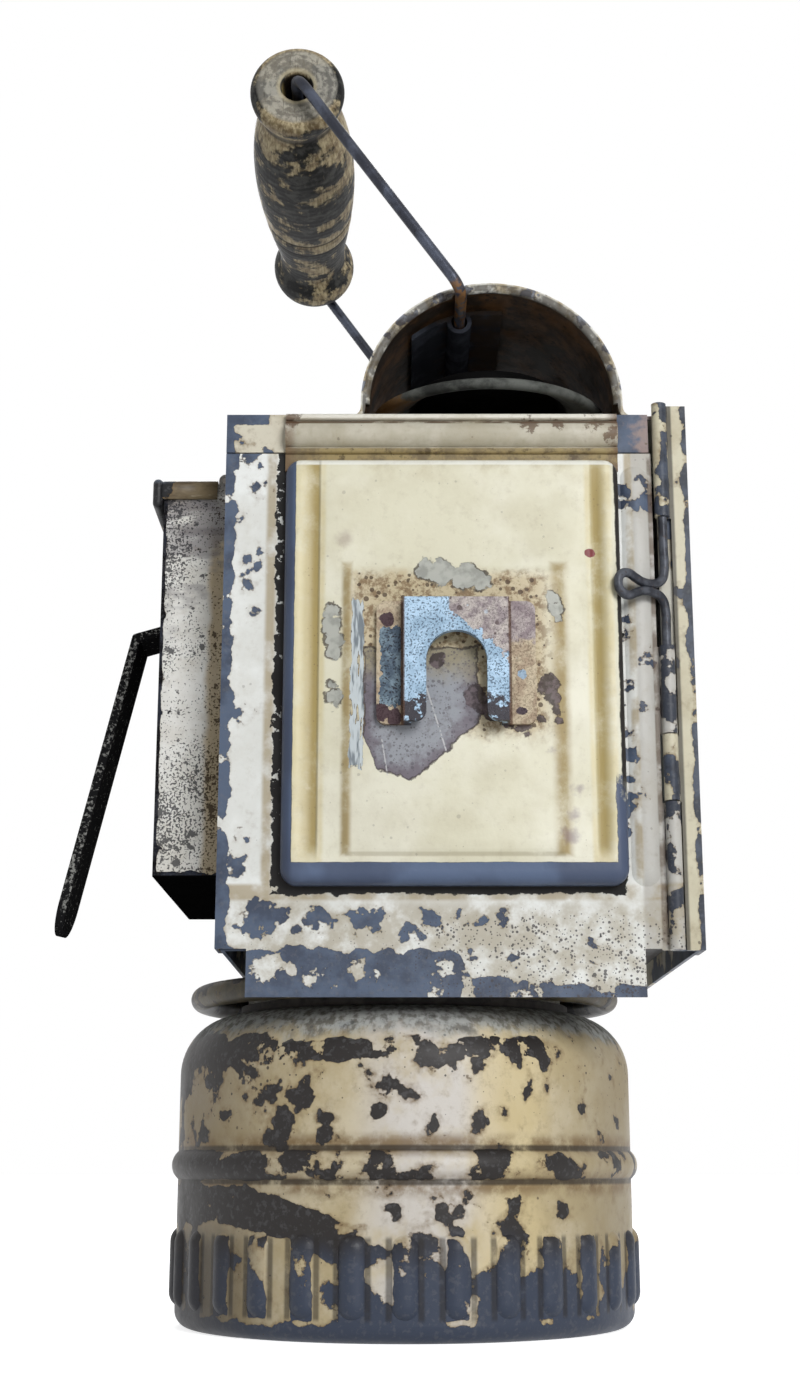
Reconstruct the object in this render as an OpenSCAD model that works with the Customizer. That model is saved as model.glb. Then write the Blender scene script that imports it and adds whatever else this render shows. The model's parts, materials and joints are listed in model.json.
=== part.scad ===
// Carbide hand lantern: a sheet-metal lamp box with a hinged door, a hood with a carrying bail,
// a water tank on the side and a carbide canister held below by a bayonet.
// The origin is on the canister's axis, on the ground. The door faces -Y, and its hinge is on the +X side.

/* [Canister] */
// Outer radius of the canister's wall
canister_r = 50.4; // [46:0.2:54]
// Thickness of the canister's sheet
canister_t = 1; // [0.8:0.1:1.4]
// Rounding of the foot's edge
foot_round = 3.5; // [2.5:0.5:6]
// Width of the flat ring that the canister stands on
foot_w = 5; // [3:0.5:10]
// Depth of the hollow under the foot
foot_recess = 1.5; // [0.5:0.5:3]
// Height of the middle of the rolled seam
seam_z = 34; // [30:0.5:40]
// Height of the rolled seam
seam_h = 6; // [4:0.5:8]
// How far the rolled seam stands proud
seam_proud = 1.4; // [0.8:0.1:2]
// Height at which the shoulder begins
shoulder_z = 53.5; // [48:0.5:60]
// Rounding of the shoulder
shoulder_round = 13; // [10:0.5:14]
// Number of grip flutes
flute_count = 30; // [20:1:36]
// Width of a flute
flute_w = 5.4; // [4:0.2:6.4]
// How far a flute stands proud
flute_proud = 1.3; // [0.5:0.1:1.4]
// Lower end of the flutes
flute_low = 4.6; // [4:0.2:8]
// Upper end of the flutes
flute_high = 20.6; // [16:0.2:26]
// Radius of the carbide basket
basket_r = 30; // [24:1:34]
// Height of the carbide basket
basket_h = 30; // [20:1:36]
// Radius of the basket's holes
basket_hole_r = 2; // [1:0.25:2.5]

/* [Bayonet] */
// Height of the canister's neck above its shoulder
neck_h = 8; // [7:0.5:9]
// Width of the gasket's flat seat round the neck
gasket_seat = 3.4; // [2.5:0.1:4]
// Height of the gasket
gasket_h = 2; // [1.5:0.1:2.2]
// Radial clearance between neck and socket
neck_clear = 0.3; // [0.2:0.05:0.5]
// Wall of the neck socket
socket_t = 1.2; // [1:0.1:2]
// Radius of a bayonet stud
stud_r = 1.5; // [1:0.1:1.8]
// Turn that frees the canister, in degrees
bayonet_turn = 30; // [20:1:45]
// How far the collar flange stays inside the housing's front face
collar_inset = 1.5; // [1:0.1:4]
// Radius of the collar flange's rolled rim
collar_rim_r = 2.6; // [2:0.1:3]

/* [Housing] */
// Overall width of the housing
box_w = 100.4; // [90:0.5:115]
// Overall depth of the housing
box_d = 100; // [94:0.5:115]
// Height of the housing, from its lower edge to its roof
box_h = 117; // [110:0.5:130]
// How far the housing's middle lies to the right of the canister's axis
box_shift = 11.3; // [8:0.1:14]
// Space between the canister's shoulder and the housing
collar_gap = 10; // [9:0.5:14]
// Thickness of the housing's sheet
sheet = 0.8; // [0.6:0.1:1]
// Height of the floor above the housing's lower edge
floor_inset = 5.5; // [4:0.5:10]
// Width of the jambs beside the door opening
jamb_w = 6; // [4:0.5:7]
// Height of the roof's turned-down lip
roof_lip = 8.8; // [6:0.2:10]
// Running gap round the door
door_gap = 0.3; // [0.2:0.05:0.5]

/* [Hood] */
// How far the hood and the burner lie to the right of the canister's axis
hood_x = 19.3; // [17:0.1:23]
// Outer radius of the hood
hood_r = 29; // [26:0.1:30]
// Thickness of the hood's sheet
hood_t = 1; // [0.8:0.1:1.2]
// Rounding of the hood's flared feet
flare_round = 2.2; // [2:0.1:4]
// Height of the hood's centre line above its feet
hood_leg = 4; // [4:0.1:6]
// How far the hood stays behind the housing's front face
hood_setback = 3; // [2:0.5:6]
// Radius of the hood's rolled rim
hem_r = 1; // [0.8:0.1:1.2]
// Distance of the flue behind the housing's front face
flue_y = 26; // [26:0.5:32]
// Radius of the flue hole in the roof
flue_r = 15; // [10:0.5:17]
// Gap between the smoke bell's brim and the hood
bell_gap = 1.1; // [0.8:0.1:2]
// Radius of the smoke bell's hollow
bell_hole_r = 17.6; // [15:0.2:18.5]
// Height of the smoke bell's brim above the roof
bell_rise = 8.5; // [8:0.5:10]
// Radius of the smoke bell's rolled edge
brim_roll = 0.9; // [0.7:0.1:1.2]
// Height of the smoke bell's crown
bell_crown = 3; // [2:0.5:13]
// Thickness of the smoke bell's sheet
bell_t = 0.8; // [0.6:0.1:1]
// Width of the smoke bell's feet
bell_foot_w = 4; // [3:0.5:6]

/* [Bail] */
// How far the bail's pivot lies to the left of the hood's middle
bail_offset = 6.6; // [4:0.2:8]
// Diameter of the bail's wire
bail_d = 3.5; // [3:0.1:4]
// Distance from the bail's pivot to the grip's axis
bail_reach = 65.2; // [62:0.1:80]
// Lean of the bail to the left as it lies in the photograph, in degrees
bail_lean = 35.2; // [0:0.2:60]
// Radius of the bail's bends, at the middle of the wire
bail_bend = 4; // [3:0.5:6]
// Gap between the bail's arms and the hood's rim
arm_gap = 3.5; // [1:0.05:5]
// Length of each of the bail's legs under the hood
leg_len = 32; // [20:1:40]
// Radial clearance of the bail's legs and of the grip
bail_clear = 0.1; // [0.05:0.01:0.1]
// Gap between the bail's legs and the hood's ceiling
leg_gap = 0.3; // [0.25:0.05:0.6]
// Thickness of the strap under the hood
strap_t = 1; // [0.8:0.1:1.4]
// Reach of the strap to the left of the bail's pivot
strap_left = 11; // [9:0.5:14]
// Reach of the strap to the right of the bail's pivot
strap_right = 9.9; // [6:0.1:12]
// How far the strap stays behind the hood's rim
strap_setback = 12; // [8:0.5:16]
// Radius of the grip at its swell
grip_r = 12.3; // [10:0.1:13]
// Radius of the grip's end knobs
knob_r = 11; // [9:0.1:12]
// Radius of the grip's grooves
grip_groove_r = 9; // [7:0.1:10]
// Length of each end knob
knob_l = 9; // [6:0.5:14]
// Gap between the grip and the bail's bends
grip_gap = 0.4; // [0.2:0.1:1]

/* [Hinge] */
// Distance of the hinge's axis from the housing's right side
hinge_inset = 5.9; // [5.2:0.1:7]
// Outer radius of a hinge knuckle
knuckle_r = 1.6; // [1.5:0.05:1.8]
// Radius of the hinge pin
pin_r = 1; // [0.8:0.05:1.1]
// Radial clearance of the hinge pin
pin_clear = 0.05; // [0.02:0.01:0.1]
// Length of the lowest knuckle, on the door
knuckle_low_h = 30.5; // [20:0.5:36]
// Length of the middle knuckle, on the housing
knuckle_mid_h = 14; // [8:0.5:18]
// Length of the upper knuckle, on the door
knuckle_high_h = 19; // [10:0.5:22]
// Length of the topmost knuckle, on the housing
knuckle_top_h = 26; // [15:0.5:28]
// Gap between two knuckles
knuckle_gap = 0.3; // [0.2:0.05:0.5]
// How far the hinge leaf stands above the roof
leaf_rise = 2; // [1:0.5:4]
// How far the pin stands out of its knuckles
pin_stub = 0.6; // [0.2:0.1:2]
// Reach of the pin's finger loop
loop_reach = 12; // [8:0.5:14]
// Radius of the finger loop's end, at the middle of the wire
loop_r = 2.2; // [1.6:0.1:3]
// Radius of the bends that lead into the finger loop
loop_bend = 2.6; // [2:0.1:4]
// How far the finger loop hangs below the middle of the bare pin
loop_drop = 2; // [0:0.5:3]
// Gap between the finger loop's tip and the front of the door's panel
loop_gap = 0.4; // [0.3:0.05:1]

/* [Door] */
// Depth of the flange that wraps the housing's left side
door_flange = 9; // [5:0.5:14]
// Distance of the raised panel from the housing's left side
panel_inset_l = 13.3; // [11:0.1:16]
// Distance of the raised panel from the housing's right side
panel_inset_r = 15.5; // [15:0.1:18]
// Height of the raised panel above the housing's lower edge
panel_low = 13; // [10:0.5:18]
// How far the panel stands proud of the door
panel_proud = 5; // [4:0.25:7]
// Thickness of the panel's sheet
panel_t = 1.2; // [1:0.1:1.4]
// Rounding of the panel's rim
panel_round = 2.6; // [1.6:0.1:3.5]
// Distance of the panel's upright grooves from its edge
groove_inset = 6; // [5:0.2:8]
// Radius of the tool that presses the grooves
groove_r = 2.2; // [1.5:0.1:3]
// Depth of the grooves
groove_depth = 0.6; // [0.3:0.1:0.8]
// Width of the pad that carries the bracket
pad_w = 45; // [38:0.5:52]
// Height of the pad that carries the bracket
pad_h = 60; // [46:0.5:75]
// Height of the pad above the panel's lower edge
pad_low = 6; // [4:0.5:12]
// How far the pad stands proud of the panel
pad_proud = 0.8; // [0.4:0.1:1.2]
// Depth of the apron below the housing
apron_h = 9.6; // [6:0.2:9.8]
// How far the apron's lower edge is bent outwards
apron_bend = 1.2; // [0:0.2:2]
// From the door's left edge to its apron
apron_inset = 6.5; // [3:0.5:10]
// From the apron to the door's right edge
apron_margin = 4.5; // [3:0.5:10]
// Width of the rib beside the panel
rib_w = 6; // [4:0.2:6.4]
// How far the rib stands proud of the door
rib_proud = 0.9; // [0.5:0.1:1]
// How far the moulding stands proud of the door
rail_proud = 3; // [2:0.1:4]
// Thickness of the moulding's backing strip
rail_t = 0.8; // [0.6:0.1:1]
// Height of the moulding's round band
rail_band = 6; // [5:0.2:6.6]
// Height of the moulding's flat strip between the panel and the band
rail_strip = 3.8; // [2:0.1:5]
// Radius of the beads above and below the band
rail_bead_r = 0.8; // [0.5:0.1:1]

/* [Hanger bracket] */
// How far the bracket lies to the right of the panel's middle
plate_shift = 0.5; // [0:0.1:2]
// Width of the bracket's raised plate
plate_w = 22; // [20:0.2:26]
// Height of the bracket
plate_h = 26.4; // [24:0.1:34]
// Height of the bracket above the pad's lower edge
plate_low = 26.7; // [20:0.1:31]
// Thickness of the bracket's metal
plate_t = 1.6; // [1.2:0.1:2]
// How far the bracket's face stands off the pad
plate_proud = 5; // [4.5:0.1:7]
// Width of each foot of the bracket
plate_foot = 5.6; // [4:0.2:6]
// Rounding of the feet's corners
foot_corner_r = 2; // [1:0.1:2.5]
// Width of the slot
slot_w = 12.6; // [10:0.2:14]
// Height of the slot, to the top of its round end
slot_h = 19.2; // [14:0.1:22]

/* [Tank] */
// Width of the water tank
tank_w = 16.4; // [16:0.2:24]
// Depth of the water tank
tank_d = 73; // [66:0.5:80]
// Height of the water tank
tank_h = 89; // [80:0.5:92]
// Height of the tank above the housing's lower edge
tank_low = 17.5; // [12:0.5:17.5]
// How far the tank stays behind the housing's front face
tank_setback = 16; // [12:0.5:20]
// Thickness of the tank's sheet
tank_t = 0.8; // [0.6:0.1:1.2]
// Depth of the lid, from front to back
lid_d = 43; // [36:0.5:44]
// Depth of the lid's skirt
lid_skirt = 4.5; // [3:0.1:6]
// Gap between the lid and the tank
lid_gap = 0.3; // [0.2:0.05:0.5]
// Radius of the lid's rolled lip
lip_r = 1.7; // [1.4:0.1:2.4]
// Outer radius of the lid's hinge barrel
lid_barrel_r = 1.5; // [1.3:0.05:1.7]
// Radius of the lid's hinge pin
lid_pin_r = 0.8; // [0.6:0.05:0.9]
// Margin of the filler opening inside the lid
filler_margin = 4; // [3.5:0.5:5]

/* [Belt hook] */
// Width of the hook's strap
hook_w = 14.5; // [14:0.5:24]
// Thickness of the hook's strap
hook_t = 2; // [1.5:0.1:2.5]
// Height of the hook's bend above the tank's floor
hook_z = 64; // [56:0.5:70]
// Reach of the hook's bend from the tank
hook_reach = 9.5; // [5.5:0.5:10]
// Fall of the hook between the tank and its bend
hook_fall = 2.5; // [1:0.5:5]
// Length of the hook's leaning strap
hook_l = 72; // [50:1:80]
// Lean of the hook's strap, in degrees
hook_lean = 13; // [8:0.5:20]
// Length of the hook's tab on the tank
hook_tab = 24; // [16:0.5:30]
// Radius of a rivet's head
rivet_r = 2.2; // [1.5:0.1:3]
// Height of a rivet's head
rivet_h = 1; // [0.6:0.1:1.5]

/* [Water valve] */
// Radius of the valve's needle
needle_r = 1.5; // [1.2:0.1:1.8]
// Lift of the needle over the knob's full turn
needle_lift = 1.5; // [1:0.1:2]
// Radial clearance of the needle and of the knob
valve_clear = 0.08; // [0.05:0.01:0.1]
// Radius of the valve's seat block
seat_r = 5; // [4:0.5:6]
// Height of the valve's seat block
seat_h = 10; // [8:0.5:14]
// Radius of the valve's knob
valve_knob_r = 6; // [5:0.5:7.5]
// Height of the valve's knob
valve_knob_h = 7; // [6:0.5:8]
// Number of scallops round the knob
scallop_count = 12; // [8:1:16]
// Radius of the bush's flange
bush_r = 5; // [4.5:0.1:6]
// Height of the bush's flange
bush_h = 1.6; // [1:0.1:2]
// Radius of the bush's spigot
spigot_r = 3.4; // [3:0.1:4]
// Height of the bush's spigot
spigot_h = 4; // [3:0.5:4.5]
// Outer radius of the drip tube
drip_r = 2.2; // [1.8:0.1:2.4]
// Distance of the drip tube from the neck's wall
drip_inset = 8; // [6:0.5:10]
// Height of the drip tube's end above the basket
drip_end = 8; // [4:0.5:10]

/* [Burner] */
// Outer radius of the gas tube
gas_r = 2.6; // [2.2:0.1:3]
// Wall of the gas and drip tubes
tube_t = 0.6; // [0.4:0.1:0.8]
// Radius of the tubes' bends, at the middle of the tube
tube_bend = 6.5; // [6:0.5:7]
// Length of the gas tube's straight foot above the floor
gas_foot = 10; // [6:0.5:14]
// Height of the flame above the floor
flame_h = 53; // [48:0.5:60]
// Height of the burner's ceramic tip
tip_h = 10; // [8:0.5:12]
// Radius of the burner's arms
tip_arm_r = 1.6; // [1.2:0.1:2]
// Radius of the burner's body
burner_r = 4.5; // [4:0.1:5.5]

/* [Reflector] */
// Radius of the reflector's rim
reflector_r = 23; // [18:0.5:24]
// Depth of the reflector's dish
reflector_depth = 10; // [8:0.5:11]
// Thickness of the reflector
reflector_t = 0.8; // [0.6:0.1:1]
// Radius of the reflector's stud
reflector_stud_r = 3; // [2:0.25:4]
// Gap between the reflector's back and the panel
reflector_gap = 6; // [5:0.5:7]

/* [Lens] */
// Radius of the lens
lens_r = 34; // [28:0.5:35]
// Bulge of the lens
lens_bulge = 12; // [8:0.5:16]
// Thickness of the lens at its edge
lens_edge = 3; // [2:0.25:5]
// Width of the gasket behind the lens
lens_seat = 2.5; // [2:0.1:3]
// Thickness of the gasket behind the lens
lens_gasket_t = 1; // [0.6:0.1:1.5]
// Radial gap between the lens and its bezel
lens_gap = 0.3; // [0.2:0.05:0.5]
// Wall of the bezel
bezel_t = 1.2; // [1:0.1:1.6]
// Width of the bezel's lip and flange
bezel_lip = 2; // [1.5:0.1:2.5]
// Number of screws in the bezel
screw_count = 4; // [3:1:6]
// Radius of a screw's head
screw_r = 1.4; // [1:0.1:1.6]
// Height of a screw's head
screw_h = 1; // [0.6:0.1:1.4]

/* [Hidden] */
$fn = 64;
full_turn = 360;
quarter = 90;
// Overrun of a cut past the face that it opens
cut = 1;

// Canister and bayonet, from the ground up
dome_z = shoulder_z + shoulder_round;
seam_low = seam_z - seam_h / 2;
cup_floor = canister_t + foot_recess;
neck_r = canister_r - shoulder_round - gasket_seat;
neck_in_r = neck_r - canister_t;
neck_top = dome_z + neck_h;
stud_z = dome_z + neck_h / 2 + stud_r / 2;
stud_gap = neck_clear;
socket_in_r = neck_r + neck_clear;
socket_out_r = socket_in_r + socket_t;
socket_low = dome_z + gasket_h + neck_clear;
gasket_out_r = neck_r + gasket_seat - neck_clear;
stud_count = 3;
basket_rows = 3;
basket_holes = 12;

// Housing
body_z = dome_z + collar_gap;
roof_z = body_z + box_h;
box_l = box_shift - box_w / 2;
box_r = box_shift + box_w / 2;
front_y = -box_d / 2;
back_y = box_d / 2;
wall_l = box_l + sheet + door_gap;
wall_r = box_r - sheet;
wall_f = front_y + sheet + door_gap;
wall_b = back_y - sheet;
wall_top = roof_z - sheet;
floor_z = body_z + floor_inset;
lip_low = roof_z - roof_lip;
collar_r = box_d / 2 - collar_inset;
collar_rim_z = body_z - collar_gap / 2 - collar_rim_r / 2;
collar_top = collar_rim_z + collar_rim_r;

// Hood, smoke bell and flue
hood_in_r = hood_r - hood_t;
hood_cz = roof_z + hood_leg;
hood_y = box_d / 2 - hood_setback;
flue_cy = front_y + flue_y;
bell_r = hood_in_r - bell_gap;

// Bail
wire_r = bail_d / 2;
bail_x = hood_x - bail_offset;
bail_z = hood_cz + sqrt(hood_in_r * hood_in_r - bail_offset * bail_offset) - leg_gap - wire_r;
arm_y = hood_y + arm_gap + wire_r;
rod_half = arm_y - bail_bend;
leg_end = rod_half - leg_len;
strap_y = hood_y - strap_setback;
leg_bore_r = wire_r + bail_clear;
strap_eye_r = leg_bore_r + strap_t;
notch_r = wire_r + leg_gap;
grip_half = rod_half - grip_gap;
grip_steps = 12;

// Hinge
hinge_x = box_r - hinge_inset;
hinge_y = front_y + sheet - knuckle_r;
pin_bore_r = pin_r + pin_clear;
knuckle_low_z = body_z;
knuckle_mid_z = knuckle_low_z + knuckle_low_h + knuckle_gap;
knuckle_high_z = knuckle_mid_z + knuckle_mid_h + knuckle_gap;
bare_low = knuckle_high_z + knuckle_high_h;
leaf_top = roof_z + leaf_rise;
knuckle_top_z = leaf_top - knuckle_top_h;
leaf_gap = 0.4;
leaf_l = hinge_x + knuckle_r + leaf_gap;
leaf_wrap = 10;
pin_low = body_z - pin_stub;
pin_top = leaf_top + pin_stub;
loop_z = (bare_low + knuckle_top_z) / 2 - loop_drop;
loop_half = loop_r + loop_bend;
loop_turn = asin((panel_proud + sheet - knuckle_r + pin_r + loop_gap) / loop_reach);

// Door
door_r = hinge_x - knuckle_r - leaf_gap;
door_low = body_z + door_gap;
door_top = lip_low - door_gap;
panel_l = box_l + panel_inset_l;
panel_r = box_r - panel_inset_r;
panel_z = body_z + panel_low;
rail_low = door_top - 2 * door_gap;
panel_top = rail_low - rail_strip;
panel_y = front_y - panel_proud;
window_inset = panel_t + panel_round;
pad_y = panel_y - pad_proud;
pad_x = (panel_l + panel_r) / 2 - pad_w / 2;
pad_z = panel_z + pad_low;
pad_slope = 1;
rib_x = (panel_r + door_r) / 2;
rail_y = front_y - door_gap;
rail_top = roof_z - door_gap;
rail_mid = (rail_low + rail_top) / 2;

// Hanger bracket
plate_x = (panel_l + panel_r) / 2 + plate_shift - plate_w / 2;
plate_z = pad_z + plate_low;
plate_y = pad_y - plate_proud;
slot_x = plate_x + plate_w / 2;

// Tank, lid and hook
tank_l = wall_l - tank_w;
tank_z = body_z + tank_low;
tank_top = tank_z + tank_h;
tank_f = front_y + tank_setback;
tank_b = tank_f + tank_d;
lid_low = tank_top + lid_gap;
lid_x = box_l - lid_gap - lid_barrel_r;
lid_z = lid_low + lid_barrel_r + lid_gap;
lid_f = tank_f - lid_gap - tank_t;
lid_b = lid_f + lid_d;
lid_l = tank_l - lid_gap - tank_t;
lid_bore_r = lid_pin_r + pin_clear;
ear_l = 4;
barrel_f = lid_f + 2 * ear_l;
barrel_b = lid_b - 2 * ear_l;
hook_y = (tank_f + tank_b) / 2;
hook_top = tank_z + hook_z;
rivet_pitch = hook_tab / 2;

// Water valve and drip tube
drip_angle = 48;
drip_x = -(neck_in_r - drip_inset) * cos(drip_angle);
drip_y = (neck_in_r - drip_inset) * sin(drip_angle);
drip_low = cup_floor + basket_h + drip_end;
valve_x = tank_l + tank_w / 2;
seat_z = tank_z + tank_t;
outlet_z = seat_z + seat_h / 2;
needle_bore_r = needle_r + valve_clear;
needle_low = outlet_z + drip_r;
bush_top = tank_top + bush_h;
spigot_top = bush_top + spigot_h;
knob_low = bush_top + lid_gap;
needle_top = spigot_top + needle_lift;
tube_hole = 0.1;

// Burner, reflector and lens
flame_z = floor_z + flame_h;
gas_len = norm([hood_x, flue_cy]);
gas_x = hood_x - 2 * tube_bend * hood_x / gas_len;
gas_y = flue_cy - 2 * tube_bend * flue_cy / gas_len;
gas_turn = atan2(flue_cy, hood_x);
gas_low = floor_z - floor_inset;
gas_top = floor_z + gas_foot + 2 * tube_bend;
tip_low = flame_z - tip_h;
dish_y = panel_y + panel_t + reflector_gap;
lens_y = back_y - sheet + lens_gasket_t;
lens_hole_r = lens_r - lens_seat;
bezel_in_r = lens_r + lens_gap;
bezel_r = bezel_in_r + bezel_t;
bezel_front = lens_y + lens_edge + lens_gap;
flange_r = bezel_r + bezel_lip;

// Radius of the arc with this half width and this rise
function arc_radius(half, rise) = (half * half + rise * rise) / (2 * rise);

// Extrusion of a profile drawn in X and Z, between two values of Y
module extrude_y(from, to) {
  translate([0, to, 0])
    rotate([quarter, 0, 0])
      linear_extrude(to - from)
        children();
}

// Extrusion of a profile drawn in Y and Z, between two values of X
module extrude_x(from, to) {
  translate([from, 0, 0])
    rotate([quarter, 0, quarter])
      linear_extrude(to - from)
        children();
}

// Box between two corners
module block(low, high) {
  translate(low)
    cube(high - low);
}

// Cylinder along +Y
module rod_y(radius, length) {
  rotate([-quarter, 0, 0])
    cylinder(r = radius, h = length);
}

// Cylinder along +X
module rod_x(radius, length) {
  rotate([0, quarter, 0])
    cylinder(r = radius, h = length);
}

// Quarter turn of round wire from +X to +Y
module bend(bend_r, radius) {
  rotate_extrude(angle = quarter)
    translate([bend_r, 0])
      circle(radius);
}

// Raised stadium on a wall: a round-backed bar with ball ends, along +Z
module bar(radius, from, to) {
  translate([0, 0, from])
    sphere(radius);
  translate([0, 0, from])
    cylinder(r = radius, h = to - from);
  translate([0, 0, to])
    sphere(radius);
}

// Half section of the canister's outside, drawn in by a wall
module canister_section(inset) {
  square([canister_r - shoulder_round, dome_z - inset]);
  square([canister_r - inset, shoulder_z]);
  translate([canister_r - shoulder_round, shoulder_z])
    circle(shoulder_round - inset);
}

module cup_section() {
  translate([0, foot_round])
    square([canister_r, seam_low - foot_round]);
  square([canister_r - foot_round, foot_round]);
  translate([canister_r - foot_round, foot_round])
    circle(foot_round);
}

module canister_cup() {
  flute_ball = arc_radius(flute_w / 2, flute_proud);
  color("burlywood")
    difference() {
      union() {
        rotate_extrude()
          cup_section();
        for (i = [0 : flute_count - 1])
          rotate([0, 0, i * full_turn / flute_count - quarter])
            translate([canister_r + flute_proud - flute_ball, 0, 0])
              bar(flute_ball, flute_low + flute_w / 2, flute_high - flute_w / 2);
      }
      translate([0, 0, cup_floor])
        cylinder(r = canister_r - canister_t, h = seam_low);
      translate([0, 0, -cut])
        cylinder(r = canister_r - foot_round - foot_w, h = foot_recess + cut);
    }
}

module canister_dome() {
  seam_ball = arc_radius(seam_h / 2, seam_proud);
  color("burlywood")
    difference() {
      rotate_extrude()
        difference() {
          union() {
            canister_section(0);
            translate([canister_r + seam_proud - seam_ball, seam_z])
              circle(seam_ball);
            square([neck_r, neck_top]);
          }
          canister_section(canister_t);
          square([neck_in_r, neck_top + cut]);
          square([canister_r + seam_proud, seam_low]);
        }
      for (i = [0 : stud_count - 1])
        rotate([0, 0, i * full_turn / stud_count])
          bayonet_slot();
    }
}

// L-shaped slot in the neck: a level run that the stud follows, and the way out at its end
module bayonet_slot() {
  half = stud_r + stud_gap;
  end_angle = asin((half + stud_gap) / neck_in_r);
  inner = neck_in_r - cut;
  rotate([0, 0, -bayonet_turn - end_angle])
    translate([0, 0, stud_z - half])
      rotate_extrude(angle = bayonet_turn + 2 * end_angle)
        translate([inner, 0])
          square([canister_t + 2 * cut, 2 * half]);
  rotate([0, 0, -bayonet_turn])
    block([inner, -half, stud_z], [neck_r + cut, half, neck_top + cut]);
}

module carbide_basket() {
  row = basket_h / (basket_rows + 1);
  color("silver")
    translate([0, 0, cup_floor])
      difference() {
        cylinder(r = basket_r, h = basket_h);
        translate([0, 0, canister_t])
          cylinder(r = basket_r - canister_t, h = basket_h);
        for (k = [1 : basket_rows])
          for (i = [0 : basket_holes - 1])
            rotate([0, 0, (i + k / 2) * full_turn / basket_holes])
              translate([basket_r - canister_t - cut, 0, k * row])
                rod_x(basket_hole_r, canister_t + 2 * cut);
      }
}

module neck_gasket() {
  color("dimgray")
    translate([0, 0, dome_z])
      difference() {
        cylinder(r = gasket_out_r, h = gasket_h);
        translate([0, 0, -cut])
          cylinder(r = neck_r + pin_clear, h = gasket_h + 2 * cut);
      }
}

module neck_socket() {
  color("dimgray")
    difference() {
      translate([0, 0, socket_low])
        cylinder(r = socket_out_r, h = floor_z - socket_low);
      translate([0, 0, socket_low - cut])
        cylinder(r = socket_in_r, h = floor_z - socket_low + 2 * cut);
      stud_holes();
    }
}

module stud_holes() {
  for (i = [0 : stud_count - 1])
    rotate([0, 0, i * full_turn / stud_count])
      translate([neck_r, 0, stud_z])
        rod_x(stud_r, socket_out_r - neck_r + cut);
}

module bayonet_studs() {
  color("goldenrod")
    for (i = [0 : stud_count - 1])
      rotate([0, 0, i * full_turn / stud_count])
        translate([neck_in_r, 0, stud_z])
          rod_x(stud_r, socket_out_r - neck_in_r);
}

module collar_flange() {
  color("dimgray")
    rotate_extrude() {
      translate([socket_out_r, collar_top - sheet])
        square([collar_r - collar_rim_r - socket_out_r, sheet]);
      translate([collar_r - collar_rim_r, collar_rim_z])
        circle(collar_rim_r);
    }
}

module housing_shell() {
  color("ivory")
    difference() {
      block([wall_l, wall_f, body_z], [wall_r, wall_b, wall_top]);
      block([wall_l + sheet, wall_f + sheet, body_z - cut], [wall_r - sheet, wall_b - sheet, roof_z]);
      block([wall_l + jamb_w, wall_f - cut, body_z - cut], [wall_r - jamb_w, wall_b - sheet, roof_z]);
      translate([hood_x, 0, flame_z])
        rod_y(lens_hole_r, back_y);
      translate([wall_l - cut, drip_y, outlet_z])
        rod_x(drip_r + tube_hole, sheet + 2 * cut);
    }
}

module floor_plate() {
  color("dimgray")
    difference() {
      block([wall_l + sheet, wall_f + sheet, floor_z], [wall_r - sheet, wall_b - sheet, floor_z + sheet]);
      translate([drip_x, drip_y, floor_z - cut])
        cylinder(r = drip_r + tube_hole, h = sheet + 2 * cut);
      translate([gas_x, gas_y, floor_z - cut])
        cylinder(r = gas_r + tube_hole, h = sheet + 2 * cut);
    }
}

module roof_plate() {
  color("ivory")
    difference() {
      block([box_l, front_y, lip_low], [box_r, back_y, roof_z]);
      block([box_l + sheet, front_y + sheet, lip_low - cut], [wall_r, wall_b, wall_top]);
      block([door_r - leaf_gap, front_y - cut, lip_low - cut], [box_r + cut, front_y + sheet, roof_z + cut]);
      block([wall_r - cut, front_y - cut, lip_low - cut], [box_r + cut, wall_f, wall_top]);
      block([box_l - cut, tank_f - door_gap, tank_z], [wall_l, tank_b + door_gap, tank_top + door_gap]);
      translate([hood_x, flue_cy, wall_top - cut])
        cylinder(r = flue_r, h = sheet + 2 * cut);
    }
}

// One rolled knuckle round the hinge's axis, with the tail that joins it to its sheet
module knuckle(from, length, tail_from, tail_to) {
  translate([hinge_x, hinge_y, from])
    cylinder(r = knuckle_r, h = length);
  block([tail_from, front_y, from], [tail_to, front_y + sheet, from + length]);
}

module pin_bore() {
  translate([hinge_x, hinge_y, pin_low - cut])
    cylinder(r = pin_bore_r, h = pin_top - pin_low + 2 * cut);
}

module hinge_leaf() {
  color("ivory")
    difference() {
      union() {
        block([leaf_l, front_y, body_z], [box_r, front_y + sheet, leaf_top]);
        block([wall_r, front_y, body_z], [box_r, front_y + leaf_wrap, lip_low]);
        knuckle(knuckle_mid_z, knuckle_mid_h, hinge_x, box_r);
        knuckle(knuckle_top_z, knuckle_top_h, hinge_x, box_r);
      }
      pin_bore();
    }
}

// Section of the hood between two radii, with its flared feet
module hood_section(outer, inner) {
  difference() {
    circle(outer);
    circle(inner);
    translate([-outer - cut, -outer - cut])
      square([2 * (outer + cut), outer + cut]);
  }
}

module hood_foot() {
  flare_z = flare_round + hood_t;
  translate([hood_in_r, flare_z])
    square([hood_t, hood_leg - flare_z]);
  translate([hood_r + flare_round, flare_z])
    difference() {
      circle(flare_z);
      circle(flare_round);
      translate([-flare_z - cut, 0])
        square(2 * (flare_z + cut));
      translate([0, -flare_z - cut])
        square(2 * (flare_z + cut));
    }
}

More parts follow.
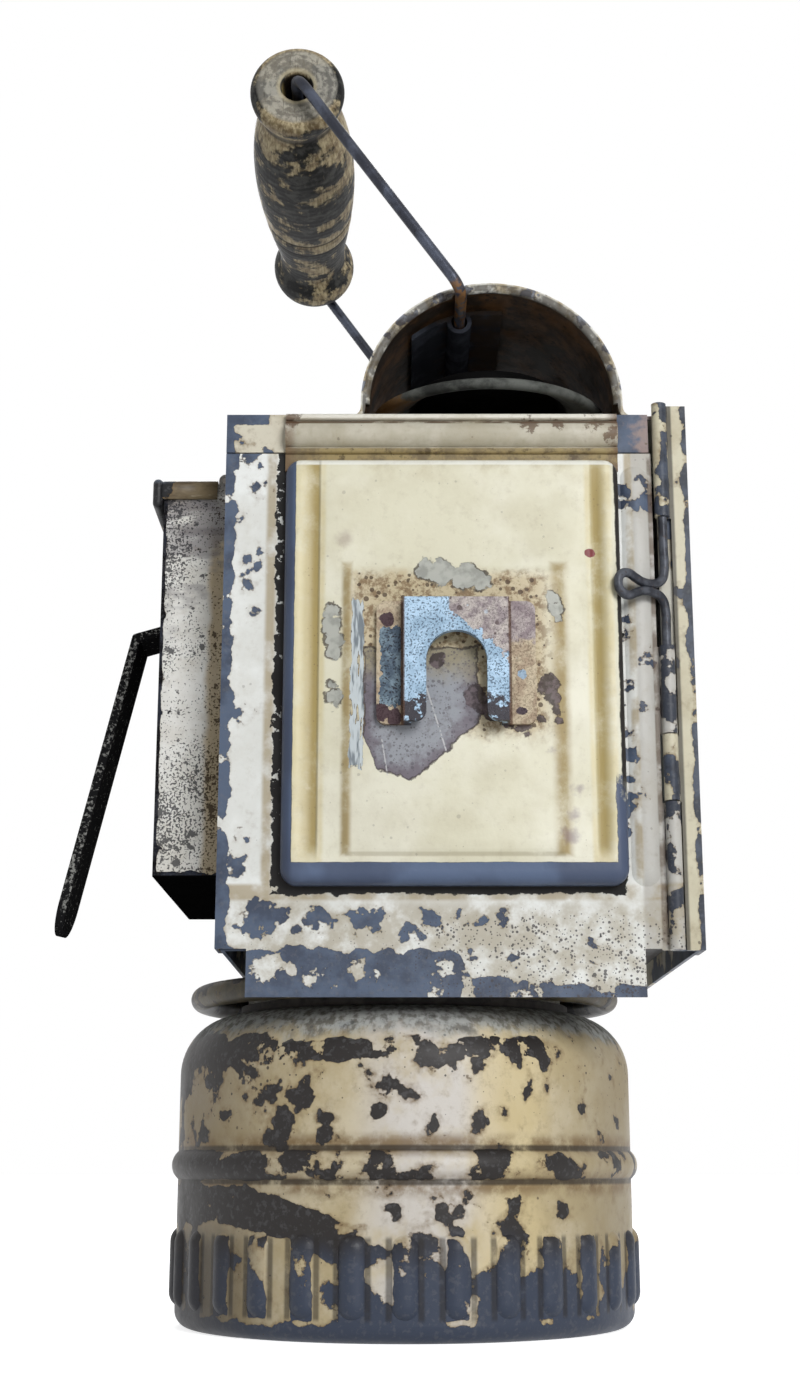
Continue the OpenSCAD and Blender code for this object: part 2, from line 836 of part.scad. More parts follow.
// Rolled rim at the front of the hood, round its arch
module hood_rim() {
  translate([0, hem_r - hood_y, 0])
    rotate([quarter, 0, 0])
      rotate_extrude(angle = 2 * quarter)
        translate([hood_r - hem_r, 0])
          circle(hem_r);
}

module hood() {
  color("dimgray")
    difference() {
      translate([hood_x, 0, 0]) {
        translate([0, 0, hood_cz]) {
          extrude_y(-hood_y, hood_y)
            hood_section(hood_r, hood_in_r);
          for (end = [0, 1])
            mirror([0, end, 0])
              hood_rim();
        }
        for (side = [0, 1])
          mirror([side, 0, 0])
            translate([0, 0, roof_z])
              extrude_y(-hood_y, hood_y)
                hood_foot();
      }
      translate([bail_x, -box_d, bail_z])
        rod_y(notch_r, 2 * box_d);
    }
}

// Half section of the smoke bell: a flat brim with a rolled edge, round a low crown
module bell_section() {
  translate([bell_hole_r, -bell_t])
    square([bell_r - brim_roll - bell_hole_r, bell_t]);
  translate([bell_r - brim_roll, -bell_t / 2])
    circle(brim_roll);
  translate([bell_hole_r, -bell_t])
    square([bell_t, bell_crown + bell_t]);
  translate([0, bell_crown - bell_t])
    square([bell_hole_r + bell_t, bell_t]);
}

module smoke_bell() {
  foot_x = bell_r - 3 * brim_roll;
  color("slategray")
    translate([hood_x, flue_cy, roof_z]) {
      translate([0, 0, bell_rise])
        rotate_extrude()
          bell_section();
      for (i = [0 : 2])
        rotate([0, 0, i * quarter])
          block([foot_x - bell_t, -bell_foot_w / 2, 0], [foot_x, bell_foot_w / 2, bell_rise - bell_t / 2]);
    }
}

module bail_strap() {
  color("midnightblue")
    difference() {
      extrude_y(-strap_y, strap_y)
        intersection() {
          translate([hood_x, hood_cz])
            circle(hood_in_r);
          union() {
            intersection() {
              translate([hood_x, hood_cz])
                hood_section(hood_in_r, hood_in_r - strap_t);
              translate([bail_x - strap_left, hood_cz])
                square([strap_left + strap_right, hood_r]);
            }
            translate([bail_x, bail_z])
              circle(strap_eye_r);
          }
        }
      translate([bail_x, -box_d, bail_z])
        rod_y(leg_bore_r, 2 * box_d);
    }
}

// One side of the bail, upright, with its pivot at the origin
module bail_half() {
  translate([0, 0, bail_reach])
    rod_y(wire_r, rod_half);
  translate([0, rod_half, bail_reach - bail_bend])
    rotate([quarter, 0, quarter])
      bend(bail_bend, wire_r);
  translate([0, arm_y, bail_bend])
    cylinder(r = wire_r, h = bail_reach - 2 * bail_bend);
  translate([0, rod_half, bail_bend])
    rotate([quarter, 0, quarter])
      rotate([0, 0, -quarter])
        bend(bail_bend, wire_r);
  translate([0, leg_end, 0])
    rod_y(wire_r, leg_len);
}

module bail_wire() {
  color("darkslategray")
    translate([bail_x, 0, bail_z])
      rotate([0, -bail_lean, 0])
        for (side = [0, 1])
          mirror([0, side, 0])
            bail_half();
}

// Half section of the grip: end knobs, grooves beside them and a swelling middle
module grip_section() {
  body_half = grip_half - knob_l;
  swell = [
    for (i = [0 : grip_steps])
      [grip_groove_r + (grip_r - grip_groove_r) * sin(i * full_turn / 2 / grip_steps),
       -body_half + 2 * body_half * i / grip_steps]
  ];
  polygon(concat([[0, -body_half]], swell, [[0, body_half]]));
  for (side = [-1, 1])
    translate([0, side * (grip_half - knob_l / 2)]) {
      translate([0, -knob_l / 2])
        square([knob_r - knob_l / 4, knob_l]);
      translate([0, -knob_l / 4])
        square([knob_r, knob_l / 2]);
      for (edge = [-1, 1])
        translate([knob_r - knob_l / 4, edge * knob_l / 4])
          circle(knob_l / 4);
    }
}

module grip() {
  color("sienna")
    translate([bail_x, 0, bail_z])
      rotate([0, -bail_lean, 0])
        translate([0, 0, bail_reach])
          rotate([quarter, 0, 0])
            difference() {
              rotate_extrude()
                grip_section();
              translate([0, 0, -grip_half - cut])
                cylinder(r = leg_bore_r, h = 2 * (grip_half + cut));
            }
}

module apron_section() {
  polygon([
    [front_y, door_low], [front_y + sheet, door_low],
    [front_y + sheet - apron_bend, body_z - apron_h], [front_y - apron_bend, body_z - apron_h]
  ]);
}

module door_frame() {
  rib_ball = arc_radius(rib_w / 2, rib_proud);
  color("ivory")
    difference() {
      union() {
        block([box_l, front_y, door_low], [door_r, front_y + sheet, door_top]);
        block([box_l, front_y, door_low], [box_l + sheet, front_y + door_flange, door_top]);
        extrude_x(box_l + apron_inset, door_r - apron_margin)
          apron_section();
        intersection() {
          translate([rib_x, front_y - rib_proud + rib_ball, 0])
            bar(rib_ball, panel_z + rib_w / 2, door_top - rib_w);
          block([panel_r, front_y - rib_proud, door_low], [door_r, front_y + sheet, door_top]);
        }
        knuckle(knuckle_low_z, knuckle_low_h, door_r - cut, hinge_x);
        knuckle(knuckle_high_z, knuckle_high_h, door_r - cut, hinge_x);
      }
      block(
        [panel_l + window_inset, front_y - cut, panel_z + window_inset],
        [panel_r - window_inset, front_y + 2 * cut, panel_top - window_inset]
      );
      pin_bore();
    }
}

// Plan of the panel with round front edges, drawn in by a wall
module panel_plan(inset) {
  left = panel_l + inset;
  width = panel_r - panel_l - 2 * inset;
  radius = panel_round - inset / 2;
  depth = panel_proud - inset;
  translate([left, front_y - depth + radius])
    square([width, depth - radius + (inset > 0 ? cut : 0)]);
  translate([left + radius, front_y - depth])
    square([width - 2 * radius, depth]);
  for (x = [left + radius, left + width - radius])
    translate([x, front_y - depth + radius])
      circle(radius);
}

// Side view of the panel with round front edges, drawn in by a wall
module panel_side(inset) {
  low = panel_z + inset;
  height = panel_top - panel_z - 2 * inset;
  radius = panel_round - inset / 2;
  depth = panel_proud - inset;
  translate([front_y - depth + radius, low])
    square([depth - radius + (inset > 0 ? cut : 0), height]);
  translate([front_y - depth, low + radius])
    square([depth, height - 2 * radius]);
  for (z = [low + radius, low + height - radius])
    translate([front_y - depth + radius, z])
      circle(radius);
}

module panel_body(inset) {
  intersection() {
    translate([0, 0, panel_z])
      linear_extrude(panel_top - panel_z)
        panel_plan(inset);
    extrude_x(panel_l, panel_r)
      panel_side(inset);
  }
}

module door_panel() {
  color("cornsilk") {
    difference() {
      panel_body(0);
      panel_body(panel_t);
      for (x = [panel_l + groove_inset, panel_r - groove_inset])
        translate([x, panel_y + groove_depth - groove_r, panel_z + groove_inset])
          bar(groove_r, 0, panel_top);
    }
    translate([0, 0, pad_z])
      linear_extrude(pad_h)
        polygon([
          [pad_x, panel_y], [pad_x + pad_slope, pad_y],
          [pad_x + pad_w - pad_slope, pad_y], [pad_x + pad_w, panel_y]
        ]);
  }
}

module door_rail() {
  band_r = arc_radius(rail_band / 2, rail_proud - rail_t);
  color("cornsilk")
    extrude_x(panel_l - door_gap, panel_r + door_gap)
      difference() {
        union() {
          translate([rail_y - rail_t, panel_top])
            square([rail_t, rail_top - panel_top]);
          translate([rail_y - rail_proud + band_r, rail_mid])
            circle(band_r);
          for (z = [rail_low + rail_bead_r, rail_top - rail_bead_r])
            translate([rail_y - rail_t, z])
              circle(rail_bead_r);
        }
        translate([rail_y, panel_top - rail_band])
          square(4 * rail_band);
      }
}

// One foot of the bracket seen from the front, at the left of the plate, with round outer corners
module foot_outline() {
  width = plate_foot + plate_t;
  translate([0, foot_corner_r])
    square([width, plate_h - 2 * foot_corner_r]);
  translate([foot_corner_r, 0])
    square([width - foot_corner_r, plate_h]);
  for (z = [foot_corner_r, plate_h - foot_corner_r])
    translate([foot_corner_r, z])
      circle(foot_corner_r);
}

// Front view of the bracket: two round-tipped legs beside the slot, and a foot on each side
module bracket_outline() {
  tip_r = (plate_w - slot_w) / 4;
  slot_top = slot_h - slot_w / 2;
  translate([slot_x, plate_z])
    difference() {
      union() {
        translate([-plate_w / 2, tip_r])
          square([plate_w, plate_h - tip_r]);
        for (side = [0, 1])
          mirror([side, 0]) {
            translate([-plate_w / 2 + tip_r, tip_r])
              circle(tip_r);
            translate([-plate_w / 2 - plate_foot, 0])
              foot_outline();
          }
      }
      translate([0, slot_top])
        circle(slot_w / 2);
      translate([-slot_w / 2, -cut])
        square([slot_w, slot_top + cut]);
    }
}

// Section of the bracket: a hat on two feet
module bracket_section() {
  difference() {
    union() {
      translate([plate_x, plate_y])
        square([plate_w, plate_proud]);
      translate([plate_x - plate_foot, pad_y - plate_t])
        square([plate_w + 2 * plate_foot, plate_t]);
    }
    translate([plate_x + plate_t, plate_y + plate_t])
      square([plate_w - 2 * plate_t, plate_proud]);
  }
}

module hanger_bracket() {
  color("lightsteelblue")
    intersection() {
      translate([0, 0, plate_z])
        linear_extrude(plate_h)
          bracket_section();
      extrude_y(plate_y - cut, pad_y + cut)
        bracket_outline();
    }
}

// Half of the finger loop, in X and Z, with the pin's axis at the origin
module loop_half_wire() {
  translate([-loop_bend, 0, loop_half])
    rotate([quarter, 0, 0])
      rotate([0, 0, -quarter])
        bend(loop_bend, pin_r);
  translate([-loop_reach + loop_r, 0, loop_r])
    rod_x(pin_r, loop_reach - loop_r - loop_bend);
  translate([-loop_reach + loop_r, 0, 0])
    rotate([quarter, 0, 0])
      rotate([0, 0, quarter])
        bend(loop_r, pin_r);
}

module hinge_pin() {
  color("darkslategray")
    translate([hinge_x, hinge_y, 0]) {
      translate([0, 0, pin_low])
        cylinder(r = pin_r, h = loop_z - loop_half - pin_low);
      translate([0, 0, loop_z + loop_half])
        cylinder(r = pin_r, h = pin_top - loop_z - loop_half);
      translate([0, 0, loop_z])
        rotate([0, 0, loop_turn])
          for (side = [0, 1])
            mirror([0, 0, side])
              loop_half_wire();
    }
}

module reflector() {
  dish_ball = arc_radius(reflector_r, reflector_depth);
  color("gainsboro")
    translate([hood_x, dish_y, flame_z])
      rotate([-quarter, 0, 0])
        rotate_extrude()
          intersection() {
            difference() {
              translate([0, dish_ball])
                circle(dish_ball);
              translate([0, dish_ball])
                circle(dish_ball - reflector_t);
            }
            square([reflector_r, reflector_depth]);
          }
}

module reflector_stud() {
  color("gainsboro")
    difference() {
      translate([hood_x, panel_y + panel_t, flame_z])
        rod_y(reflector_stud_r, reflector_gap + reflector_t);
      translate([hood_x, dish_y + arc_radius(reflector_r, reflector_depth), flame_z])
        sphere(arc_radius(reflector_r, reflector_depth));
    }
}

module water_tank() {
  color("ivory")
    difference() {
      union() {
        block([tank_l, tank_f, tank_z], [wall_l, tank_b, tank_top]);
        for (y = [barrel_f - ear_l - lid_gap, barrel_b + lid_gap])
          lid_ear(y);
      }
      block([tank_l + tank_t, tank_f + tank_t, tank_z + tank_t], [wall_l - tank_t, tank_b - tank_t, tank_top - tank_t]);
      block(
        [lid_l + filler_margin, lid_f + filler_margin, tank_top - 2 * cut],
        [lid_x - filler_margin, lid_b - filler_margin, tank_top + cut]
      );
      translate([lid_x, lid_f, lid_z])
        rod_y(lid_bore_r, lid_d);
      translate([valve_x, drip_y, tank_top - 2 * cut])
        cylinder(r = spigot_r, h = 3 * cut);
      translate([valve_x, drip_y, outlet_z])
        rod_x(drip_r + tube_hole, tank_w);
    }
}

// Ear that carries the lid's pin
module lid_ear(y) {
  block([lid_x - lid_barrel_r, y, tank_top], [lid_x + lid_barrel_r, y + ear_l, lid_z]);
  translate([lid_x, y, lid_z])
    rod_y(lid_barrel_r, ear_l);
}

module tank_lid() {
  lid_top = lid_low + tank_t;
  color("slategray")
    difference() {
      union() {
        block([lid_l, lid_f, lid_top - lid_skirt], [lid_x - lid_barrel_r, lid_b, lid_top]);
        block([lid_x - 2 * lid_barrel_r, barrel_f, lid_low], [lid_x, barrel_b, lid_top]);
        translate([lid_l, lid_f, lid_top - lip_r])
          rod_y(lip_r, lid_d);
        translate([lid_x, barrel_f, lid_z])
          rod_y(lid_barrel_r, barrel_b - barrel_f);
      }
      block([tank_l - lid_gap, tank_f - lid_gap, tank_z], [wall_l, tank_b, lid_low]);
      for (y = [barrel_f - ear_l - 2 * lid_gap, barrel_b])
        block([lid_x - 2 * lid_barrel_r, y, tank_top], [lid_x + cut, y + ear_l + 2 * lid_gap, lid_z + cut]);
      translate([lid_x, lid_f - cut, lid_z])
        rod_y(lid_bore_r, lid_d + 2 * cut);
    }
}

module lid_pin() {
  color("darkslategray")
    translate([lid_x, barrel_f - ear_l - lid_gap, lid_z])
      rod_y(lid_pin_r, barrel_b - barrel_f + 2 * (ear_l + lid_gap));
}

module belt_hook() {
  bend_x = tank_l - hook_reach;
  bend_z = hook_top - hook_fall;
  strap_x = tank_l - hook_t / 2;
  straight = hook_l - hook_w / 2;
  color("dimgray")
    translate([0, hook_y, 0])
      difference() {
        union() {
          extrude_y(-hook_w / 2, hook_w / 2) {
            translate([tank_l - hook_t, hook_top - hook_tab])
              square([hook_t, hook_tab]);
            translate([strap_x, hook_top])
              circle(hook_t / 2);
            translate([bend_x, bend_z])
              circle(hook_t / 2);
            translate([strap_x, hook_top])
              rotate(atan2(bend_z - hook_top, bend_x - strap_x))
                translate([0, -hook_t / 2])
                  square([norm([bend_x - strap_x, bend_z - hook_top]), hook_t]);
          }
          translate([bend_x, 0, bend_z])
            rotate([0, hook_lean, 0]) {
              block([-hook_t / 2, -hook_w / 2, -straight], [hook_t / 2, hook_w / 2, 0]);
              translate([-hook_t / 2, 0, -straight])
                rod_x(hook_w / 2, hook_t);
            }
        }
        rivet_shanks();
      }
}

// Shanks of the rivets, in the hook's own plane of symmetry
module rivet_shanks() {
  for (side = [-1, 1])
    translate([tank_l - hook_t - cut, side * rivet_pitch / 2, hook_top - hook_tab / 2])
      rod_x(rivet_r / 2, hook_t + cut);
}

module hook_rivets() {
  color("dimgray")
    translate([0, hook_y, 0])
      for (side = [-1, 1])
        translate([tank_l - hook_t, side * rivet_pitch / 2, hook_top - hook_tab / 2]) {
          rod_x(rivet_r / 2, hook_t);
          translate([-rivet_h, 0, 0])
            rod_x(rivet_r, rivet_h);
        }
}

module valve_seat() {
  color("goldenrod")
    difference() {
      translate([valve_x, drip_y, seat_z])
        cylinder(r = seat_r, h = seat_h);
      translate([valve_x, drip_y, outlet_z])
        cylinder(r = needle_bore_r, h = seat_h);
      translate([valve_x, drip_y, outlet_z])
        rod_x(drip_r, seat_r + cut);
    }
}

module valve_needle() {
  color("goldenrod") {
    translate([valve_x, drip_y, needle_low])
      cylinder(r = needle_r, h = needle_top - needle_low);
  }
}

module valve_bush() {
  color("goldenrod")
    difference() {
      union() {
        translate([valve_x, drip_y, tank_top])
          cylinder(r = bush_r, h = bush_h);
        translate([valve_x, drip_y, tank_top - tank_t])
          cylinder(r = spigot_r, h = spigot_top - tank_top + tank_t);
      }
      translate([valve_x, drip_y, tank_top - cut - tank_t])
        cylinder(r = needle_bore_r, h = tank_h);
    }
}

module valve_knob() {
  scallop_r = valve_knob_r * sin(quarter / scallop_count);
  color("goldenrod")
    translate([valve_x, drip_y, knob_low])
      difference() {
        cylinder(r = valve_knob_r, h = valve_knob_h + needle_lift);
        for (i = [0 : scallop_count - 1])
          rotate([0, 0, i * full_turn / scallop_count])
            translate([valve_knob_r + scallop_r / 2, 0, -cut])
              cylinder(r = scallop_r, h = valve_knob_h + needle_lift + 2 * cut);
        translate([0, 0, -cut])
          cylinder(r = spigot_r + valve_clear, h = spigot_h + cut);
        cylinder(r = needle_bore_r, h = spigot_h + 2 * needle_lift + lid_gap);
      }
}

// Drip tube: level from the valve through the walls, then down through the floor
module drip_run(radius, over) {
  translate([valve_x + seat_r - over, drip_y, outlet_z])
    rod_x(radius, drip_x - tube_bend - valve_x - seat_r + over);
  translate([drip_x - tube_bend, drip_y, outlet_z - tube_bend])
    rotate([quarter, 0, 0])
      bend(tube_bend, radius);
  translate([drip_x, drip_y, drip_low - over])
    cylinder(r = radius, h = outlet_z - tube_bend - drip_low + over);
}

module drip_tube() {
  color("goldenrod")
    difference() {
      drip_run(drip_r, 0);
      drip_run(drip_r - tube_t, cut);
    }
}

// Gas tube: up through the floor, then offset to the burner by two quarter turns
module gas_run(radius, over) {
  bend_z = floor_z + gas_foot;
  translate([gas_x, gas_y, 0])
    rotate([0, 0, gas_turn]) {
      translate([0, 0, gas_low - over])
        cylinder(r = radius, h = bend_z - gas_low + over);
      translate([tube_bend, 0, bend_z])
        rotate([quarter, 0, 0])
          rotate([0, 0, quarter])
            bend(tube_bend, radius);
      translate([tube_bend, 0, gas_top])
        rotate([quarter, 0, 0])
          rotate([0, 0, -quarter])
            bend(tube_bend, radius);
      translate([2 * tube_bend, 0, gas_top])
        cylinder(r = radius, h = gas_r + over);
    }
}

module gas_tube() {
  color("goldenrod")
    difference() {
      gas_run(gas_r, 0);
      gas_run(gas_r - tube_t, cut);
    }
}

module burner_body() {
  low = gas_top + gas_r;
  color("goldenrod")
    translate([hood_x, flue_cy, low])
      difference() {
        union() {
          cylinder(r = burner_r, h = burner_r);
          cylinder(r = gas_r + tube_t, h = tip_low - low);
        }
        translate([0, 0, -cut])
          cylinder(r = gas_r - tube_t, h = tip_low - low + 2 * cut);
      }
}

module burner_tip() {
  color("white")
    translate([hood_x, flue_cy, tip_low]) {
      cylinder(r = gas_r, h = tip_h / 2);
      for (side = [-1, 1])
        translate([0, 0, tip_h / 2 - tip_arm_r])
          rotate([0, side * quarter / 2, 0])
            cylinder(r = tip_arm_r, h = tip_h / 2 + tip_arm_r);
    }
}

module lens() {
  lens_ball = arc_radius(lens_r, lens_bulge);
  color("lightcyan", 0.5)
    translate([hood_x, lens_y, flame_z])
      rotate([-quarter, 0, 0])
        rotate_extrude() {
          square([lens_r, lens_edge]);
          intersection() {
            translate([0, lens_edge + lens_bulge - lens_ball])
              circle(lens_ball);
            translate([0, lens_edge])
              square([lens_r - bezel_lip, lens_bulge]);
          }
        }
}

module lens_bezel() {
  color("goldenrod")
    difference() {
      translate([hood_x, wall_b, flame_z])
        rotate([-quarter, 0, 0])
          rotate_extrude()
            difference() {
              union() {
                square([bezel_r, bezel_front - wall_b + bezel_t]);
                square([flange_r + 2 * screw_r, bezel_t]);
              }
              translate([0, -cut])
                square([bezel_in_r, bezel_front - wall_b + cut]);
              square([lens_r - bezel_lip + lens_gap, box_d]);
            }
      for (i = [0 : screw_count - 1])
        screw_place(i)
          rod_y(screw_r / 2, bezel_t + 2 * cut);
    }
}

// Place of one of the bezel's screws
module screw_place(i) {
  angle = (i + 0.5) * full_turn / screw_count;
  translate([hood_x + flange_r * cos(angle), wall_b, flame_z + flange_r * sin(angle)])
    children();
}

module lens_gasket() {
  color("dimgray")
    translate([hood_x, wall_b, flame_z])
      rotate([-quarter, 0, 0])
        difference() {
          cylinder(r = lens_r, h = lens_gasket_t);
          translate([0, 0, -cut])
            cylinder(r = lens_hole_r, h = lens_gasket_t + 2 * cut);
        }
}

module bezel_screws() {
  color("silver")
    for (i = [0 : screw_count - 1])
      screw_place(i) {
        rod_y(screw_r / 2, bezel_t);
        translate([0, bezel_t, 0])
          rod_y(screw_r, screw_h);
      }
}

canister_cup();
canister_dome();
carbide_basket();
neck_gasket();
neck_socket();
bayonet_studs();
collar_flange();
housing_shell();
floor_plate();
roof_plate();
hinge_leaf();
hood();
smoke_bell();
bail_strap();
bail_wire();
grip();
door_frame();
door_panel();
door_rail();
hanger_bracket();
hinge_pin();
reflector();
reflector_stud();
water_tank();
tank_lid();
lid_pin();
belt_hook();
hook_rivets();
valve_seat();
valve_needle();
valve_bush();
valve_knob();
drip_tube();
gas_tube();
burner_body();
burner_tip();
lens();
lens_bezel();
lens_gasket();
bezel_screws();
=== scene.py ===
import json
from math import cos, pi, radians, sin

import bmesh
import bpy
from mathutils import Matrix, Vector


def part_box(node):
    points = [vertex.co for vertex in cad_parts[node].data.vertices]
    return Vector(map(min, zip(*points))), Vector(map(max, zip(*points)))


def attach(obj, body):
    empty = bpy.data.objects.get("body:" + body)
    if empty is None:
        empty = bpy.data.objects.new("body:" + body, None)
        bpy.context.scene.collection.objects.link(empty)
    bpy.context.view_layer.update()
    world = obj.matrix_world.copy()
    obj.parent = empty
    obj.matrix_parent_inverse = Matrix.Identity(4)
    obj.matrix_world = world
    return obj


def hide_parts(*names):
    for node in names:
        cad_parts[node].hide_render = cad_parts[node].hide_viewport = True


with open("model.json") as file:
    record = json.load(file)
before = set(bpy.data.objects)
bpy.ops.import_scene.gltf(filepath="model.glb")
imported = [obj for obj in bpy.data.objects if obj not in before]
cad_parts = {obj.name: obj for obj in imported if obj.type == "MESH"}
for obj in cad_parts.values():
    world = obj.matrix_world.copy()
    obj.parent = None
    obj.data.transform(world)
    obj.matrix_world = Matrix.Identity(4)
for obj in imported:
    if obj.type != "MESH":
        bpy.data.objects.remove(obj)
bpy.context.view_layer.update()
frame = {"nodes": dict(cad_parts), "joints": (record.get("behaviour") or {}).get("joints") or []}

# Viewpoint: the photograph was taken from low in front of the door and close to it, looking up. The lens and
# the tilt come from how much the lantern narrows towards its top.
eye = bpy.data.cameras.new("viewpoint")
eye.sensor_fit = "VERTICAL"
eye.sensor_height = 36
eye.lens = 49.22
eye.clip_start = 0.01
viewpoint = bpy.data.objects.new("viewpoint", eye)
viewpoint.location = (-0.001, -0.435, 0.034)
viewpoint.rotation_euler = (radians(104.25), 0, 0)
bpy.context.scene.collection.objects.link(viewpoint)
bpy.context.scene.camera = viewpoint


# Canister: the carbide holder, two pressings of sheet rolled together at the bead round their middle, with
# pressed flutes to grip it by. It was primed slate grey and painted cream. The paint has come off in rounded
# chips, along the bead, over the flutes and round the foot, and dust lies on the shoulder.
class Tone:
    """A value, colour or place in one material, so that a finish is written as plain sums."""

    def __init__(self, tree, socket=None):
        self.tree = tree
        self.socket = socket

    def node(self, kind, settings=None, sockets=None, out=0):
        made = self.tree.nodes.new(kind)
        for name, value in (settings or {}).items():
            setattr(made, name, value)
        for name, value in (sockets or {}).items():
            if isinstance(value, Tone):
                self.tree.links.new(value.socket, made.inputs[name])
            else:
                made.inputs[name].default_value = value
        return Tone(self.tree, made.outputs[out])

    def other(self, out):
        return Tone(self.tree, self.socket.node.outputs[out])

    def maths(self, operation, *values):
        return self.node("ShaderNodeMath", {"operation": operation}, dict(enumerate(values)))

    def __add__(self, value):
        return self.maths("ADD", self, value)

    def __sub__(self, value):
        return self.maths("SUBTRACT", self, value)

    def __rsub__(self, value):
        return self.maths("SUBTRACT", value, self)

    def __mul__(self, value):
        return self.maths("MULTIPLY", self, value)

    def __or__(self, value):
        return self.maths("MAXIMUM", self, value)

    def __and__(self, value):
        return self.maths("MINIMUM", self, value)

    def __abs__(self):
        return self.maths("ABSOLUTE", self)

    __radd__ = __add__
    __rmul__ = __mul__


def hue(red, green, blue):
    """A colour as the eye reads it, 0 to 255, for a shader."""
    return [*((part / 255) ** 2.2 for part in (red, green, blue)), 1.0]


def begin(name):
    """A new material, its shader, and the place on the piece in millimetres: whole, then x, y and z."""
    material = bpy.data.materials.new(name)
    material.use_nodes = True
    shader = material.node_tree.nodes["Principled BSDF"]
    place = Tone(material.node_tree).node("ShaderNodeTexCoord", out="Object")
    place = place.node("ShaderNodeVectorMath", {"operation": "SCALE"}, {"Vector": place, "Scale": 1000})
    x = place.node("ShaderNodeSeparateXYZ", sockets={"Vector": place})
    return material, shader, place, x, x.other(1), x.other(2)


def smooth(value, low, high):
    """0 below low and 1 above high, eased between them. With low above high it runs the other way."""
    return value.node("ShaderNodeMapRange", {"interpolation_type": "SMOOTHSTEP"},
                      {"Value": value, "From Min": low, "From Max": high})


def band(value, low, high, soft):
    """1 between low and high, fading out over a soft width at each."""
    return smooth(value, low - soft, low) & smooth(value, high + soft, high)


def marks(place, spots):
    """How deep a place lies in the nearest of some round marks, in mm, or below 0 outside them. Each mark is its
    middle's x, y and z and its radius."""
    deepest = None
    for *middle, radius in spots:
        depth = radius - place.node(
            "ShaderNodeVectorMath", {"operation": "DISTANCE"}, {0: place, 1: middle}, out="Value")
        deepest = depth | deepest if deepest else depth
    return deepest


def shift_by(place, amount):
    return place.node("ShaderNodeVectorMath", {"operation": "ADD"}, {0: place, 1: (amount,) * 3})


def drawn(place, x, y, z):
    """The place drawn out, so that blotches on it run long where a number is small."""
    return place.node("ShaderNodeVectorMath", {"operation": "MULTIPLY"}, {0: place, 1: (x, y, z)})


def cloud(place, size, detail=4, rough=0.55, shift=0.0):
    """Soft blotches of about a size in mm, 0.5 on average."""
    if shift:
        place = shift_by(place, shift * 37.3)
    return place.node("ShaderNodeTexNoise", None,
                      {"Vector": place, "Scale": 1 / size, "Detail": detail, "Roughness": rough})


def specks(place, size, amount, shift=0.0):
    """Round specks of mixed sizes, one to a cell of a size in mm at most; an amount of 1 is crowded."""
    place = shift_by(place, shift * 37.3)
    middle = place.node("ShaderNodeTexVoronoi", None, {"Vector": place, "Scale": 1 / size}, out="Distance")
    pick = place.node("ShaderNodeSeparateColor", None, {"Color": middle.other("Color")})
    return smooth(middle - pick * amount * 0.55 + 0.1, 0.03, -0.03)


def over(mask, under, top):
    """A colour laid over another where the mask is 1."""
    return mask.node("ShaderNodeMix", {"data_type": "RGBA"}, {0: mask, 6: under, 7: top}, out=2)


def enamel(place, paint, bare, wear, size=9.0, shift=0.0, chips=None, kept=None, dirt=1.0):
    """Old paint on primed sheet: its colour, roughness, height in mm and where it is bare. A wear of -0.1 opens
    a chip here and there, +0.1 bares about half and +0.3 all of it. Chips and kept paint can be marked as well.
    A brown stain creeps in round each chip."""
    crumb = cloud(place, size * 0.16, 4, 0.6, shift + 1) - 0.5
    lobe = cloud(place, size * 0.45, 2, 0.5, shift + 7) - 0.5
    chip = cloud(place, size, 2, 0.45, shift) + lobe * 0.3 + crumb * 0.22 + wear
    if chips:
        chip = chip | (marks(place, chips) * 0.06 + lobe * 0.5 + crumb * 0.14 + 0.6)
    if kept:
        chip = chip & (0.6 - marks(place, kept) * 0.06 + lobe * 0.4 + crumb * 0.2)
    bared = smooth(chip, 0.6, 0.606)
    stain = smooth(chip, 0.48, 0.6) * smooth(cloud(place, size / 2, 5, 0.7, shift + 2), 0.35, 0.7)
    grime = smooth(cloud(place, size * 3, 6, 0.68, shift + 3), 0.44, 0.72)
    mottle = smooth(cloud(place, 2.4, 5, 0.72, shift + 4), 0.5, 0.76)
    freckle = specks(place, 1.7, grime * 0.5 + 0.3, shift + 5)
    painted = over(grime * 0.45 * dirt, paint, hue(156, 140, 108))
    painted = over(mottle * 0.45 * dirt, painted, hue(138, 122, 96))
    painted = over(stain * 0.75 * dirt, painted, hue(118, 96, 66))
    painted = over(freckle * 0.7 * dirt, painted, hue(74, 64, 56))
    scuffed = over(smooth(crumb, 0.02, 0.16) * 0.25, bare, hue(108, 108, 110))
    colour = over(bared, over(band(chip, 0.59, 0.6, 0.005) * 0.6, painted, hue(96, 78, 56)), scuffed)
    rough = grime * 0.2 + bared * 0.04 + 0.4
    height = (1 - bared) * 0.2 + cloud(place, 1.4, 4, 0.6, shift + 6) * 0.07
    return colour, rough, height, bared


def finish(shader, colour, rough, height=None, metal=None, gloss=0.25):
    """Feeds a shader: roughness and metal as values or plain numbers, height in mm."""
    shader.inputs["Specular IOR Level"].default_value = gloss
    feeds = {"Base Color": colour, "Roughness": rough, "Metallic": metal}
    if height:
        feeds["Normal"] = height.node("ShaderNodeBump", None, {"Strength": 1, "Distance": 0.001, "Height": height})
    for name, value in feeds.items():
        if isinstance(value, Tone):
            value.tree.links.new(value.socket, shader.inputs[name])
        elif value is not None:
            shader.inputs[name].default_value = value


def dress(material, *nodes):
    """Gives a finish to solids that keep their own shape."""
    for node in nodes:
        skin = frame["nodes"][node].data
        skin.materials.clear()
        skin.materials.append(material)


